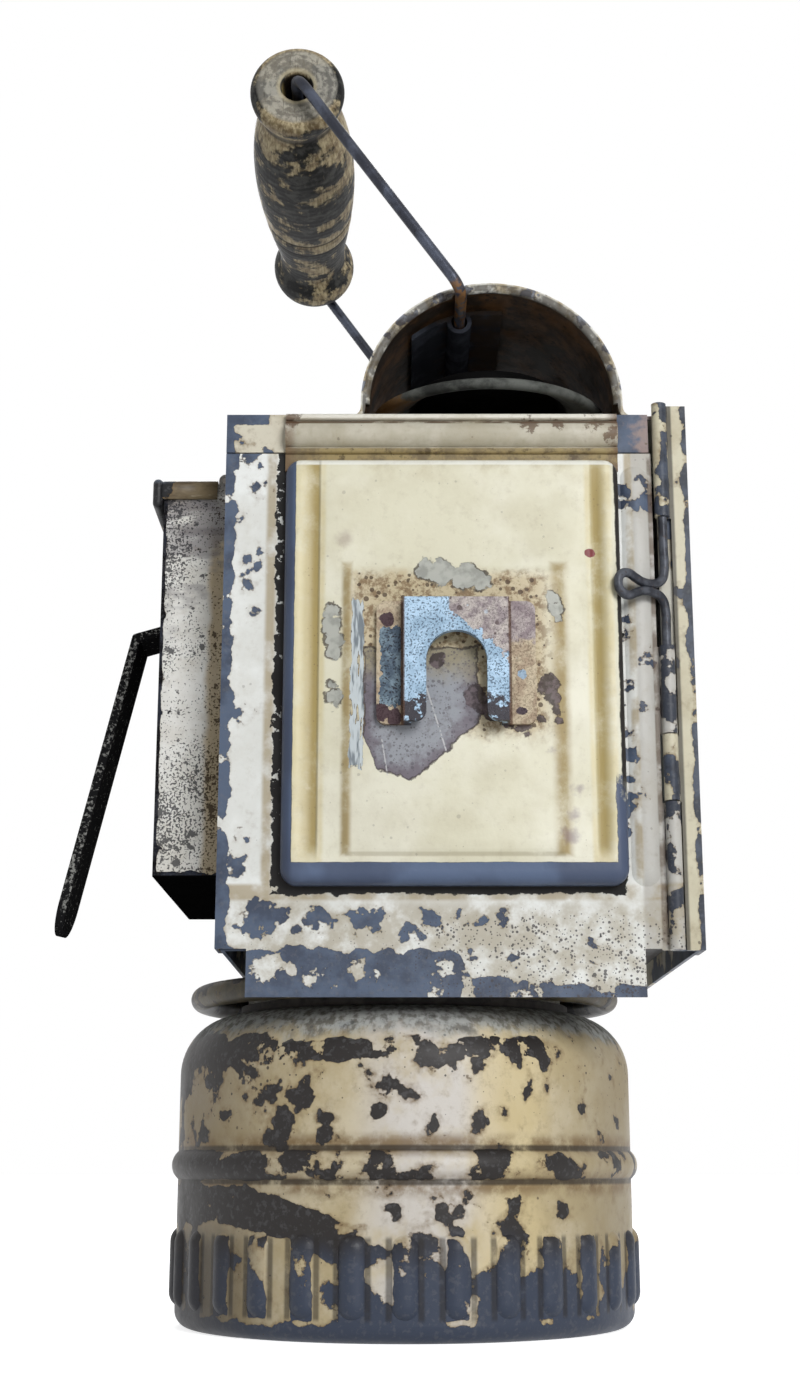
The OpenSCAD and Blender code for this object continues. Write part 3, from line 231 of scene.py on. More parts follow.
material, shader, place, x, y, z = begin("canister_paint")
wall, bead_low, bead_high = 50.4, 31.4, 36.6
flutes, flute_low, flute_high = 30, 5, 19.5
front = smooth(y, 5, -25)
left = smooth(x, -2, -30) & front
wander = cloud(place, 13, 3, 0.55, 2) - 0.5
angle = x.maths("ARCTAN2", y, x) + pi / 2
wave = x.maths("COSINE", angle * flutes)
fluted = band(z, flute_low, flute_high, 1.2)
rib = smooth(wave, -0.1, 0.4) * fluted
foot_line = smooth(z + wander * 6, 24, 7)
shoulder = band(z + wander * 9, 55.4, 58.6, 1.6) * smooth(x + wander * 20, 34, 22)
broken = 0.12 + 0.22 * smooth(cloud(place, 6, 4, 0.6, 12), 0.42, 0.56)
drift = smooth(x + wander * 14, -4, -14) * band(z + smooth(x, -36, -8) * 7, 23, 29, 2.2) * front
wear = (
    band(z, bead_low, bead_high, 0.8) * (0.17 + 0.14 * left) + shoulder * broken + smooth(x, -34, -48) * 0.16
    + smooth(x, -22, -40) * band(z + wander * 8, 50, 60, 3) * 0.16 + foot_line * (0.3 - 0.16 * left) + drift * 0.34
    + rib * (0.18 + 0.1 * left) - (1 - rib) * fluted * left * 0.05 + smooth(z, 4.5, 2) * 0.25 - 0.11)
# Each chip: degrees round from the front, height and radius.
chipped = [
    (-25, 47.6, 3), (-30, 43.1, 2.5), (-31, 38.9, 2.3), (-32, 49, 2), (-18, 43, 2), (-18, 40.5, 2.1),
    (-58, 40.5, 2.2), (-43, 54.2, 1.6), (-37, 46.8, 0.9), (1, 47.7, 1.4), (6, 41.4, 1.4), (-6, 44.5, 0.8),
    (-4, 49.3, 0.9), (-8, 51.6, 0.9), (17, 42.4, 1.3), (23, 43.7, 0.7), (29, 49, 1.4), (35, 49.4, 1.1),
    (47, 45, 1.1), (37, 57.3, 1.2), (64, 43.3, 0.9), (17, 53.3, 1.6), (5, 55, 2.2), (11, 55.6, 2), (27, 55.8, 2),
    (-3, 28.2, 1), (-3, 25.7, 1), (8, 25.7, 2.1), (11, 24.1, 1.7), (12, 21.9, 1.3), (15, 27.5, 0.8),
    (27, 26.7, 1.2), (40, 25.1, 1.5), (3, 18.6, 2.7), (24, 21.5, 2.5), (26, 18.1, 2.9), (-66, 34, 2.1),
    (52, 28, 0.8), (-48, 44, 1.1), (-52, 49, 1.3)]
chipped = [(wall * sin(radians(turn)), -wall * cos(radians(turn)), high, wide) for turn, high, wide in chipped]
paint = over(smooth(cloud(place, 16, 5, 0.62, 5), 0.38, 0.62), hue(184, 168, 132), hue(204, 192, 164))
# Painted highlight: a patchy whiter upright band down the front middle of the can.
paint = over(
    band(x, -2, 12, 11) * front * smooth(cloud(place, 11, 4, 0.6, 6), 0.3, 0.58) * 0.85, paint, hue(212, 208, 204))
paint = over(band(x, 17, 25, 7) * front * 0.6, paint, hue(214, 196, 150))
# Painted shade: the paint is darkened towards the left and the right side of the can, where it turns away from the
# light.
paint = over(smooth(x, -16, -46) * 0.8, paint, hue(128, 113, 88))
paint = over(smooth(x, 26, 47) * 0.75, paint, hue(140, 126, 98))
crease = cloud(place, 5, 5, 0.65, 8)
paint = over(
    (band(z, 37.4, 38.4, 2.6) | band(z, 29.6, 30.6, 2.8)) * smooth(crease, 0.3, 0.62) * 0.85, paint,
    hue(112, 88, 56))
bare = over(smooth(z + wander * 12, 22, 12), hue(44, 41, 40), hue(60, 67, 82))
colour, rough, height, bared = enamel(place, paint, bare, wear, 8, 7, chipped)
# Dark seam lines at the bead, and painted shade down both sides of each flute.
seams_and_flute_shade = band(z, 37, 37.6, 0.6) | band(z, 30.4, 31, 0.6) | (band(wave, -0.5, -0.1, 0.3) * fluted * 0.85)
colour = over(seams_and_flute_shade * smooth(crease, 0.15, 0.5) * 0.8, colour, hue(34, 30, 27))
colour = over(specks(place, 1.3, smooth(z, 40, 58) * 0.35 + left * 0.15 + 0.3, 14) * 0.85, colour, hue(54, 48, 45))
colour = over(smooth(x, -24, -46) * smooth(z + wander * 8, 25, 17) * 0.8, colour, hue(36, 32, 29))
dust = smooth(z + wander * 9 + cloud(place, 3, 4, 0.65) * 5, 61.5, 65)
streak = cloud(drawn(place, 1, 1, 0.2), 1.6, 4, 0.65, 3)
colour = over(dust * 0.9, colour, over(smooth(streak, 0.4, 0.62), hue(172, 175, 173), hue(104, 104, 101)))
finish(shader, colour, rough + dust * 0.3, height)
dress(material, "canister_cup", "canister_dome")


# Basket, socket and studs: the pierced basket stands on the canister's floor, the spun socket takes its neck
# on a rubber ring, and three steel studs catch in the neck's slots. Lime has dulled the tin.
def plate(name, light, dark, rough, metal, size=7.0):
    """A plain metal: cloudy with handling, with fine scuffs and a soft ripple."""
    material, shader, place, x, y, z = begin(name)
    tarnish = smooth(cloud(place, size, 6, 0.65), 0.34, 0.68)
    scuff = smooth(cloud(place, 0.7, 3, 0.6, 2), 0.6, 0.7)
    colour = over(scuff * 0.35, over(tarnish, light, dark), [part * 0.6 for part in light[:3]] + [1])
    finish(shader, colour, tarnish * 0.22 + rough, tarnish * 0.03 + scuff * 0.01, metal)
    return material


dress(plate("limed_tin", hue(168, 166, 158), hue(122, 116, 104), 0.42, 0.8), "carbide_basket", "neck_socket")
dress(plate("stud_steel", hue(120, 118, 114), hue(78, 72, 66), 0.38, 0.9), "bayonet_studs")
material, shader, place, x, y, z = begin("neck_rubber")
bloom = smooth(cloud(place, 5, 5, 0.6), 0.4, 0.65)
finish(shader, over(bloom, hue(44, 41, 39), hue(76, 72, 68)), bloom * 0.15 + 0.6, bloom * 0.05)
dress(material, "neck_gasket", "lens_gasket")

# Collar: a round flange with a wired rim, soldered to the socket, that keeps drips off the canister. Its
# paint is stained brown by heat and lime, with tan left on the rim.
material, shader, place, x, y, z = begin("collar_paint")
paint = over(smooth(cloud(place, 7, 5, 0.6, 3), 0.38, 0.6), hue(70, 65, 47), hue(48, 44, 34))
colour, rough, height, bared = enamel(place, paint, hue(36, 33, 31), 0.03, 6, 11, dirt=0.35)
finish(shader, colour, rough, height)
dress(material, "collar_flange")


# Housing: the sheet-metal box, bent from one sheet with its roof and floor let in. It is painted white over
# slate primer, rubbed through along every edge and sooted inside, and heat has browned the roof.
def corners(node):
    """The lowest and the highest corner of a solid, in millimetres."""
    return [Vector(corner) * 1000 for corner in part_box(node)]


def edges(x, y, z, node, width):
    """1 along the edges of a solid's box, 0 at a width in mm from them."""
    near = []
    for value, low, high in zip((x, y, z), *corners(node)):
        half = (high - low) / 2
        near.append(smooth(abs(value - low - half), half - width, half))
    return (near[0] & near[1]) | (near[1] & near[2]) | (near[2] & near[0])


def slate(place, size=11.0):
    """The old primer where it shows: blue-grey, cloudy and a little scuffed."""
    return over(smooth(cloud(place, size, 5, 0.6, 8), 0.4, 0.6), hue(62, 70, 86), hue(82, 94, 114))


material, shader, place, x, y, z = begin("housing_paint")
paint = over(smooth(cloud(place, 26, 4, 0.6, 1), 0.38, 0.62), hue(212, 206, 184), hue(222, 220, 208))
wear = edges(x, y, z, "housing_shell", 7) * 0.24 + smooth(z, 92, 78) * 0.08 - 0.1
colour, rough, height, bared = enamel(place, paint, slate(place), wear, 9, 13)
within = band(x, -37.6, 60.5, 0.3) & band(y, -48.7, 48.9, 0.3) & band(z, 82.2, 192.4, 0.3)
soot = within * smooth(cloud(place, 14, 5, 0.65, 2), 0.2, 0.5)
colour = over(soot, colour, hue(46, 40, 36))
finish(shader, colour, rough + soot * 0.25, height)
dress(material, "housing_shell")

material, shader, place, x, y, z = begin("roof_paint")
heat = smooth(cloud(place, 18, 6, 0.62, 3), 0.36, 0.62) * smooth(z, 192.4, 193.2)
paint = over(heat, hue(206, 200, 182), hue(138, 120, 92))
wear = edges(x, y, z, "roof_plate", 3) * 0.12 + smooth(z, 192, 193.2) * 0.05 - 0.1
facing = smooth(y, -48, -49.5)
right = smooth(x, 45, 46) * facing
left = smooth(x, -36.9, -38) + smooth(z, 190.6, 191.6) * smooth(x, -28, -31)
bruise = smooth(cloud(place, 6, 4, 0.6, 4) + (x - 51) * 0.04, 0.4, 0.56)
bare = over(right * bruise, slate(place), hue(140, 124, 120))
colour, rough, height, bared = enamel(place, paint, bare, wear + right * 0.35 + left * facing * 0.3, 6, 17)
finish(shader, colour, rough, height)
dress(material, "roof_plate")

material, shader, place, x, y, z = begin("floor_black")
soot = smooth(cloud(place, 9, 6, 0.65), 0.4, 0.66)
finish(shader, over(soot, hue(40, 38, 38), hue(66, 60, 54)), soot * 0.2 + 0.5, soot * 0.05)
dress(material, "floor_plate")

# Hinge leaf: the body half of the door's hinge, a folded strip with two rolled barrels, riveted to the wall.
# The barrels are worn to slate, and cream is left on the flat front.
material, shader, place, x, y, z = begin("hinge_paint")
barrel = smooth(x, 57.7, 57.2)
bare = over(smooth(cloud(place, 6, 5, 0.6, 8), 0.4, 0.6), hue(46, 50, 58), hue(70, 77, 90))
wear = barrel * (0.1 + smooth(x, 54.8, 56.4) * 0.2) + smooth(x, 59.4, 61) * 0.3 + band(z, 138, 150, 5) * 0.12 - 0.09
colour, rough, height, bared = enamel(place, hue(200, 194, 170), bare, wear, 6, 19)
colour = over(band(x, 57.5, 58.1, 0.5) * smooth(y, -48.5, -49.5) * 0.8, colour, hue(34, 30, 28))
finish(shader, colour, rough, height)
dress(material, "hinge_leaf")


# Hood: a half-round cover of sheet over the flue, with a wired rim at each end and feet soldered to the roof.
# Outside it is mottled white, cream and blue-grey, and inside soot and rust have turned it brown.
def reach(across, up):
    """How far a place lies from an axis, from its distances to it in two directions."""
    return across.maths("SQRT", across * across + up * up)


material, shader, place, x, y, z = begin("hood_paint")
low, high = corners("hood")
arch = 29
radius = reach(x - (low.x + high.x) / 2, z - (high.z - arch))
hollow = smooth(radius, arch - 0.5, arch - 0.8) * smooth(abs(y), 46.4, 45.8) * smooth(z, 194.2, 195)
ends = smooth(abs(y), 43, 46.5)
paint = over(smooth(cloud(place, 5, 5, 0.65, 3), 0.42, 0.6), hue(220, 220, 212), hue(178, 166, 140))
bare = over(smooth(cloud(place, 4, 4, 0.6, 5), 0.42, 0.58), hue(88, 90, 98), hue(132, 136, 144))
colour, rough, height, bared = enamel(place, paint, bare, ends * 0.04 - 0.05, 3.5, 23, dirt=0.6)
colour = over(
    smooth(radius, arch - 0.1, arch - 0.6) * ends * smooth(cloud(place, 3, 4, 0.6, 6), 0.3, 0.5) * 0.8, colour,
    hue(52, 46, 42))
rust = over(smooth(cloud(place, 9, 7, 0.68, 7), 0.42, 0.66), hue(38, 29, 21), hue(88, 64, 42))
rust = over(specks(place, 1.8, 0.8, 9) * 0.7, rust, hue(26, 21, 18))
finish(shader, over(hollow, colour, rust), rough + hollow * 0.3, height, gloss=0.15)
dress(material, "hood")


# Smoke bell: a spun ring with a rolled edge under the hood, which spreads the hot gases. It is bare sheet, grey
# with ash and rusty at one side; its hollow is painted near black, partly soot and partly painted shade inside the
# crown.
def piece(name, skin, material, body, slot, *stands_for):
    """Makes a mesh a piece of the lantern that moves with a body."""
    skin.name = name
    skin.materials.append(material)
    made = bpy.data.objects.new(name, skin)
    bpy.context.scene.collection.objects.link(made)
    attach(made, body)
    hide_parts(*stands_for)
    return made


def spun(outline, axis, steps):
    """A bmesh turned from an outline about an axis through the origin."""
    mesh = bmesh.new()
    rim = [mesh.verts.new(point) for point in outline]
    lines = [mesh.edges.new(pair) for pair in zip(rim, rim[1:])]
    bmesh.ops.spin(mesh, geom=rim + lines, cent=(0, 0, 0), axis=axis, angle=2 * pi, steps=steps, use_merge=True)
    return mesh


def block(mesh, size, middle):
    """Adds a plain box to a bmesh and gives its corners."""
    made = bmesh.ops.create_cube(mesh, size=1)["verts"]
    bmesh.ops.scale(mesh, vec=size, verts=made)
    bmesh.ops.translate(mesh, vec=middle, verts=made)
    return made


def skinned(mesh):
    """The skin made from a bmesh in millimetres: merged, facing outwards and smooth."""
    bmesh.ops.scale(mesh, vec=(0.001, 0.001, 0.001), verts=mesh.verts)
    bmesh.ops.remove_doubles(mesh, verts=mesh.verts, dist=0.000001)
    bmesh.ops.recalc_face_normals(mesh, faces=mesh.faces)
    for face in mesh.faces:
        face.smooth = True
    skin = bpy.data.meshes.new("skin")
    mesh.to_mesh(skin)
    mesh.free()
    return skin


material, shader, place, x, y, z = begin("bell_ash")
ash = smooth(cloud(place, 7, 6, 0.66, 2), 0.36, 0.64)
low, high = corners("smoke_bell")
middle = (low + high) / 2
soot = smooth(reach(x - middle.x, y - middle.y) + (cloud(place, 6, 5, 0.65) - 0.5) * 3, 19.2, 18)
colour = over(ash, hue(50, 51, 49), hue(96, 98, 94))
rust = smooth(marks(place, [(-3, -36, 201, 9)]) + (cloud(place, 4, 5, 0.65, 4) - 0.5) * 16, 0, 5)
colour = over(rust * 0.85, colour, hue(118, 88, 54))
# The hollow: near black, partly soot and partly painted shade where light does not reach inside the crown.
colour = over(soot, colour, hue(5, 5, 5))
finish(shader, colour, ash * 0.15 + soot * 0.3 + 0.5, ash * 0.08, gloss=0.08)
sheet, foot, foot_out, foot_high = 0.6, (0.8, 4, 8.2), 23.85, 197.6
spinning = [
    (26.3, 201.5), (26.8, 201.2), (26.9, 200.7), (26.5, 200.3), (25.8, 200.3), (24.5, 201), (22.5, 202.2),
    (20.4, 203.4), (18.6, 204.4), (17.9, 205), (17.5, 206), (17.3, 207.4), (16.4, 208.2), (14, 208.5), (0, 208.5)]
mesh = spun([(out, 0, up) for out, up in spinning], (0, 0, 1), 64)
bmesh.ops.remove_doubles(mesh, verts=mesh.verts, dist=0.001)
bmesh.ops.recalc_face_normals(mesh, faces=mesh.faces)
bmesh.ops.solidify(mesh, geom=mesh.faces[:], thickness=sheet)
for turn in (0, 90, 180):
    stood = block(mesh, foot, (foot_out, 0, foot_high))
    bmesh.ops.rotate(mesh, cent=(0, 0, 0), matrix=Matrix.Rotation(radians(turn), 3, "Z"), verts=stood)
bmesh.ops.translate(mesh, vec=(middle.x, middle.y, 0), verts=mesh.verts)
piece("spun_bell", skinned(mesh), material, "lamp_body", "bare_sheet", "smoke_bell")


# Bail: a bent steel wire whose legs turn in the dip of a strap soldered inside the hood. The wire is slate
# from handling, with a little orange rust where it goes through; the strap is dark navy.
def pivot(name):
    """The place of a joint, in millimetres."""
    return next(Vector(joint["pos_m"]) * 1000 for joint in frame["joints"] if joint["name"] == name)


def wire_skin(route, radius):
    """The skin of a bent round wire. The route gives each knot's place and the ends of its two handles, in mm, or
    the place alone where the wire just runs smoothly through it."""
    wire = bpy.data.curves.new("wire", "CURVE")
    wire.dimensions = "3D"
    wire.bevel_depth = radius * 0.001
    wire.bevel_resolution = 4
    wire.use_fill_caps = True
    line = wire.splines.new("BEZIER")
    line.bezier_points.add(len(route) - 1)
    for knot, (spot, *handles) in zip(line.bezier_points, route):
        knot.co = spot * 0.001
        knot.handle_left_type = knot.handle_right_type = "FREE" if handles else "AUTO"
        if handles:
            knot.handle_left, knot.handle_right = (end * 0.001 for end in handles)
    shape = bpy.data.objects.new("wire", wire)
    bpy.context.scene.collection.objects.link(shape)
    skin = bpy.data.meshes.new_from_object(shape.evaluated_get(bpy.context.evaluated_depsgraph_get()))
    bpy.data.objects.remove(shape)
    bpy.data.curves.remove(wire)
    skin.materials.clear()
    return skin


material, shader, place, x, y, z = begin("bail_steel")
blue = smooth(cloud(place, 7, 5, 0.6), 0.4, 0.62)
rust = smooth(z + cloud(place, 4, 5, 0.65, 4) * 8, 229.5, 227) * smooth(cloud(place, 1.6, 4, 0.6, 6), 0.42, 0.55)
pits = smooth(cloud(place, 0.9, 3, 0.6, 8), 0.6, 0.7)
colour = over(pits * 0.5, over(blue, hue(50, 52, 60), hue(78, 83, 96)), hue(40, 36, 34))
finish(shader, over(rust * 0.8, colour, hue(132, 96, 58)), rust * 0.3 + 0.38, pits * -0.05, 0.35)
thick, bend, half_span, leg_end = 2.6, 4, 52.25, 30
leg, hand = pivot("bail_swing"), pivot("grip_spin")
stations = (
    (leg, -leg_end), (leg, -half_span), (hand, -half_span), (hand, half_span), (leg, half_span), (leg, leg_end))
bends = [Vector((at.x, along, at.z)) for at, along in stations]
route = [(bends[0],) * 3]
for before, knee, after in zip(bends, bends[1:], bends[2:]):
    start = knee + (before - knee).normalized() * bend
    stop = knee + (after - knee).normalized() * bend
    route += [(start, start, start.lerp(knee, 0.55)), (stop, stop.lerp(knee, 0.55), stop)]
route += [(bends[-1],) * 3]
piece("bent_bail", wire_skin(route, thick / 2), material, "bail", "dark_steel", "bail_wire")
material, shader, place, x, y, z = begin("strap_navy")
worn = smooth(cloud(place, 8, 6, 0.65), 0.45, 0.68)
rust = smooth(z + cloud(place, 6, 5, 0.65, 2) * 10, 227, 230)
colour = over(rust * 0.7, over(worn, hue(54, 56, 62), hue(74, 78, 86)), hue(72, 60, 48))
finish(shader, colour, worn * 0.2 + 0.5, worn * 0.05, gloss=0)
dress(material, "bail_strap")

# Grip: a turned hardwood handle, drilled through for the wire, with a knob at each end, a long swell and two
# cut rings. Its black paint has worn down to tan wood on the high places.
material, shader, place, x, y, z = begin("worn_wood")
fibre = cloud(drawn(place, 1, 0.09, 1), 0.7, 4, 0.6, 1)
off_axis = reach(x - hand.x, z - hand.z)
ring = x.maths("SINE", off_axis * 4.4 + cloud(place, 2.2, 5, 0.7, 5) * 16)
turned = x.maths("SINE", y * 3.1 + cloud(place, 7, 3) * 7)
wood = over(smooth(fibre, 0.34, 0.66), hue(126, 112, 84), hue(186, 172, 140))
wood = over(smooth(cloud(place, 3, 5, 0.65, 9), 0.46, 0.66) * 0.7, wood, hue(92, 74, 54))
paint = over(smooth(cloud(place, 3, 5, 0.62, 3), 0.46, 0.64), hue(18, 18, 18), hue(62, 62, 60))
lobe = cloud(drawn(place, 1, 1.2, 1), 9, 3, 0.5, 7) + (fibre - 0.5) * 0.12
lobe = lobe + (cloud(place, 2.4, 5, 0.68, 8) - 0.5) * 0.35
rubbed = (
    lobe + turned * 0.012 + band(y, -39, -30, 4) * 0.13 + band(y, 5, 9, 1.5) * 0.07 + band(y, 10.5, 14.6, 1) * 0.08
    + band(y, -47.5, -42, 1) * 0.03 - band(y, 20, 36, 6) * 0.04)
bare_wood = smooth(rubbed, 0.5, 0.6)
colour = over(bare_wood, paint, wood)
end = smooth(y, -47.4, -47.7)
weathered = over(
    smooth(cloud(place, 3, 6, 0.7, 6) + ring * 0.05, 0.42, 0.6), hue(112, 110, 104), hue(164, 161, 150))
colour = over(
    end * 0.85, colour,
    over(smooth(cloud(drawn(place, 1, 1, 0.15), 0.8, 4, 0.65, 10), 0.56, 0.66) * 0.7, weathered, hue(80, 77, 72)))
colour = over(end * smooth(off_axis, 5.2, 3.9) * 0.7, colour, hue(178, 166, 134))
# Inside the bore for the wire: painted light, tan, on one side of its wall, and painted shade, near black, on the
# other.
colour = over(
    smooth(off_axis, 3.7, 3.4), colour,
    over(smooth(x - hand.x + (z - hand.z), -1, -4), hue(28, 24, 20), hue(142, 126, 84)))
cut = band(y, 9.3, 9.7, 0.5) | band(y, 15.3, 15.7, 0.5) | band(y, -38.9, -37.7, 1)
colour = over(cut * 0.8, colour, hue(26, 24, 24))
finish(shader, colour, 0.56 - bare_wood * 0.06, fibre * 0.14 + turned * 0.02 - bare_wood * 0.12, gloss=0.15)
turning = [
    (15, 1.9), (13, 3.2), (0.6, 3.3), (0, 3.8), (0, 8.8), (0.5, 10), (1.7, 10.9), (3.4, 11.15), (5.4, 10.7),
    (7.2, 9.8), (8.8, 9.15), (10, 9), (11.4, 9.3), (14.2, 10.1), (19.4, 11.2), (26.6, 12.1), (35, 12.5),
    (42.4, 12.5), (49.6, 12.15), (56.6, 11.6), (57.1, 11.2), (57.6, 11.2), (58.1, 11.45), (62.6, 11), (63.1, 10.55),
    (63.6, 10.55), (64.1, 10.75), (70, 9.95), (76, 9.1), (81.2, 8.65), (84, 8.75), (85.8, 9.6), (88.2, 10.75),
    (90.8, 11.15), (93.4, 10.8), (95.1, 9.9), (95.7, 8.7), (95.7, 3.8), (95.1, 3.3), (83, 3.2), (81, 1.9)]
mesh = spun([(radius, along, 0) for along, radius in turning], (0, 1, 0), 40)
bmesh.ops.translate(mesh, vec=(hand.x, corners("grip")[0].y, hand.z), verts=mesh.verts)
handle = piece("turned_grip", skinned(mesh), material, "bail_grip", "wood", "grip")
rounding = handle.modifiers.new("rounding", "SUBSURF")
rounding.levels = rounding.render_levels = 2


# Door frame: the flat front of the door, folded back all round, with a bent apron below, a stiffening rib by the
# hinge and two rolled barrels. White paint over slate, rubbed off along the left edge, the barrels and the apron,
# and chipped below the panel. Round the panel it is black, partly dirt and partly painted shade where the raised
# panel stands off the frame, with a tan strip beside it that is partly stain and partly painted shade.
def torn(place, big, big_shift, small, small_shift):
    """How far a torn edge strays, about -0.5 to 0.5, in a big and a small wave of a size in mm."""
    wide = cloud(place, big, 3, 0.55, big_shift) - 0.5
    return wide * 0.6 + (cloud(place, small, 4, 0.62, small_shift) - 0.5) * 0.4


def at_depth(front, spots):
    """Marks on an upright face, each given by its x, its z and its radius."""
    return [(across, front, high, radius) for across, high, radius in spots]


material, shader, place, x, y, z = begin("frame_paint")
paint = over(smooth(cloud(place, 18, 5, 0.62, 1), 0.4, 0.62), hue(220, 221, 216), hue(234, 236, 233))
paint = over(smooth(x, 48.6, 49.6) * 0.9, paint, hue(180, 178, 172))
# A tan strip beside the panel's left side, below it and by the rib: partly stain, partly painted shade.
tan = band(x, -29.2, -28.2, 1.1) | band(x, 48, 48.9, 0.7) | band(z, 87.2, 89.5, 1)
paint = over(tan * smooth(cloud(place, 6, 4, 0.6, 3), 0.3, 0.6) * 0.7 * smooth(z, 84, 87), paint, hue(150, 130, 88))
fray = torn(place, 5, 33, 1.3, 35)
slate_top = 77.2 - 5.6 * smooth(x, 9, 15) - 2.4 * smooth(x, 15, 48)
apron = smooth(slate_top - z, -1.2, 2) * 0.36
edge_left = smooth(x, -35.4, -37.8) * 0.36 + smooth(z + fray * 6, 179.6, 181.6) * smooth(x, -29.5, -31.5) * 0.3
hidden = smooth(y, -49.6, -49.2) * 0.1
barrel = smooth(x, 53.6, 54.2) * 0.24
wear = apron + edge_left + hidden + barrel - 0.13
bare = over(smooth(x, 53.4, 54), slate(place, 9), hue(54, 58, 67))
chipped = [
    (-30.4, 83.3, 3.4), (-26.7, 82.9, 2.5), (-18.6, 82.9, 1.6), (-15.9, 82.2, 1.3), (-9.6, 82.7, 2), (-6, 82.9, 2),
    (4.8, 83.3, 1.6), (6.6, 82.7, 1.3), (11.1, 83.6, 0.7), (16.5, 82.9, 0.8), (21, 82.7, 1.3), (0.8, 80.2, 1.5),
    (2.5, 78.8, 1.1), (-22.2, 80.6, 0.8), (13.3, 75.7, 1.1), (20.9, 74.8, 1.2), (-33.4, 99.8, 1.1),
    (-34.6, 93.8, 2.1), (39, 78.8, 0.7), (-31.5, 162.1, 0.6), (-33.6, 154.9, 0.7), (-34, 160, 1),
    (-33.8, 157.4, 0.8), (-32.8, 148.2, 0.7), (-35.2, 126.1, 1.2), (-31.3, 159.5, 0.6), (-32.5, 176.6, 1.4),
    (-29.8, 177.4, 1), (46.9, 176, 1.1), (46.5, 172.5, 0.7), (52.4, 173.1, 1.5), (49.9, 171.8, 0.6),
    (51.6, 177.8, 0.6), (46.8, 142.4, 1.1), (47.2, 146.4, 0.7), (52.4, 137.5, 0.9), (46.4, 118, 1.6),
    (46.6, 122, 1.2), (46.2, 112, 1.3), (46.4, 128, 0.9), (46.3, 106, 1.5), (46.5, 101, 1.2), (47.4, 108.6, 0.7),
    (46.9, 132.6, 0.7)]
kept = [
    (-28.6, 72.8, 3.2), (-19.5, 71.2, 1.1), (-15, 71.4, 1.1), (-9.6, 72.6, 1.3), (8, 73.4, 0.9), (-29, 79.6, 1.6)]
colour, rough, height, bared = enamel(
    place, paint, bare, wear, 6, 29, at_depth(-50.4, chipped), at_depth(-50.8, kept), 0.4)
colour = over(
    smooth(z, 90, 84) * smooth(cloud(place, 7, 5, 0.66, 38), 0.34, 0.6) * (1 - bared) * 0.65, colour,
    hue(156, 144, 118))
gritty = smooth(z, 89, 80) * (smooth(x, -25, 40) * 0.45 + 0.35)
gritty = gritty + smooth(cloud(place, 9, 3, 0.5, 32), 0.5, 0.7) * 0.2
colour = over(
    (specks(place, 0.6, gritty * 1.3, 31) | specks(place, 1.1, gritty, 34)) * 0.85, colour, hue(62, 58, 60))
# Painted shade and dirt: a ragged black band round the foot of the raised panel, with cream flecks left in it on
# the left.
shade_and_dirt_gap = band(x + fray * 5, -27.7, 45.8, 0.12) & smooth(z + fray * 4, 87.8, 88)
flecks = smooth(cloud(place, 2.2, 4, 0.6, 36), 0.6, 0.62) * smooth(x, -25.8, -26.4)
colour = over(shade_and_dirt_gap * (1 - flecks), colour, hue(17, 15, 14))
sooted = over(smooth(cloud(place, 12, 6, 0.66, 39), 0.4, 0.62), hue(62, 54, 46), hue(104, 94, 78))
colour = over(smooth(y, -49.7, -49.4) * band(x, -38.2, 53.2, 0.3), colour, sooted)
colour = over(band(x, 52.9, 53.7, 0.5) * smooth(cloud(place, 5, 4), 0.3, 0.55) * 0.8, colour, hue(84, 66, 48))
finish(shader, colour, rough + shade_and_dirt_gap * 0.2, height)
dress(material, "door_frame")

# Door panel: a shallow pressed pan soldered to the frame, with an upright crease at each side and a flat pad for
# the bracket. Cream paint, ochre in the creases with their bottoms darkened as painted shade, painted shade along
# the pad's edges, a painted highlight along the top edge, bare slate round the rim with a dark line at its upper
# right that is partly painted shade, and rust and bare tin by the bracket.
material, shader, place, x, y, z = begin("panel_paint")
paint = over(smooth(cloud(place, 24, 5, 0.6, 1), 0.38, 0.62), hue(216, 212, 188), hue(227, 224, 205))
dirt = cloud(place, 9, 6, 0.68, 3)
fray = torn(place, 5, 5, 1.4, 6)
crease = (smooth(x, -22.4, -18.9) & smooth(x, -17.8, -18.5)) | (smooth(x, 43.4, 41) & smooth(x, 39.3, 40.3))
crease = crease * smooth(z, 93, 98)
paint = over(
    (band(x, -23, -17.4, 1) | band(x, 39, 43.6, 1)) * smooth(dirt, 0.2, 0.6) * 0.5, paint, hue(206, 188, 128))
# The bottom of each crease is painted darker, as shade, over the ochre stain.
paint = over(crease * smooth(dirt, 0.1, 0.5) * 0.85, paint, hue(152, 132, 74))
# Painted shade: ochre-dark along the pad's left and right edges, and a dark line along its foot.
pad_edge_shade = (band(x, -12.5, -11.9, 1.3) | band(x, 32.2, 33, 2.2)) & band(z, 96, 157, 1.5)
paint = over(pad_edge_shade * smooth(dirt, 0.2, 0.58) * 0.85, paint, hue(148, 126, 74))
paint = over(
    band(z, 95.2, 95.7, 0.35) * band(x, -12, 32.6, 0.5) * smooth(dirt, 0.3, 0.5) * 0.3, paint, hue(132, 116, 80))
paint = over(smooth(z, 174, 180) * smooth(dirt, 0.42, 0.66) * 0.4, paint, hue(170, 154, 116))
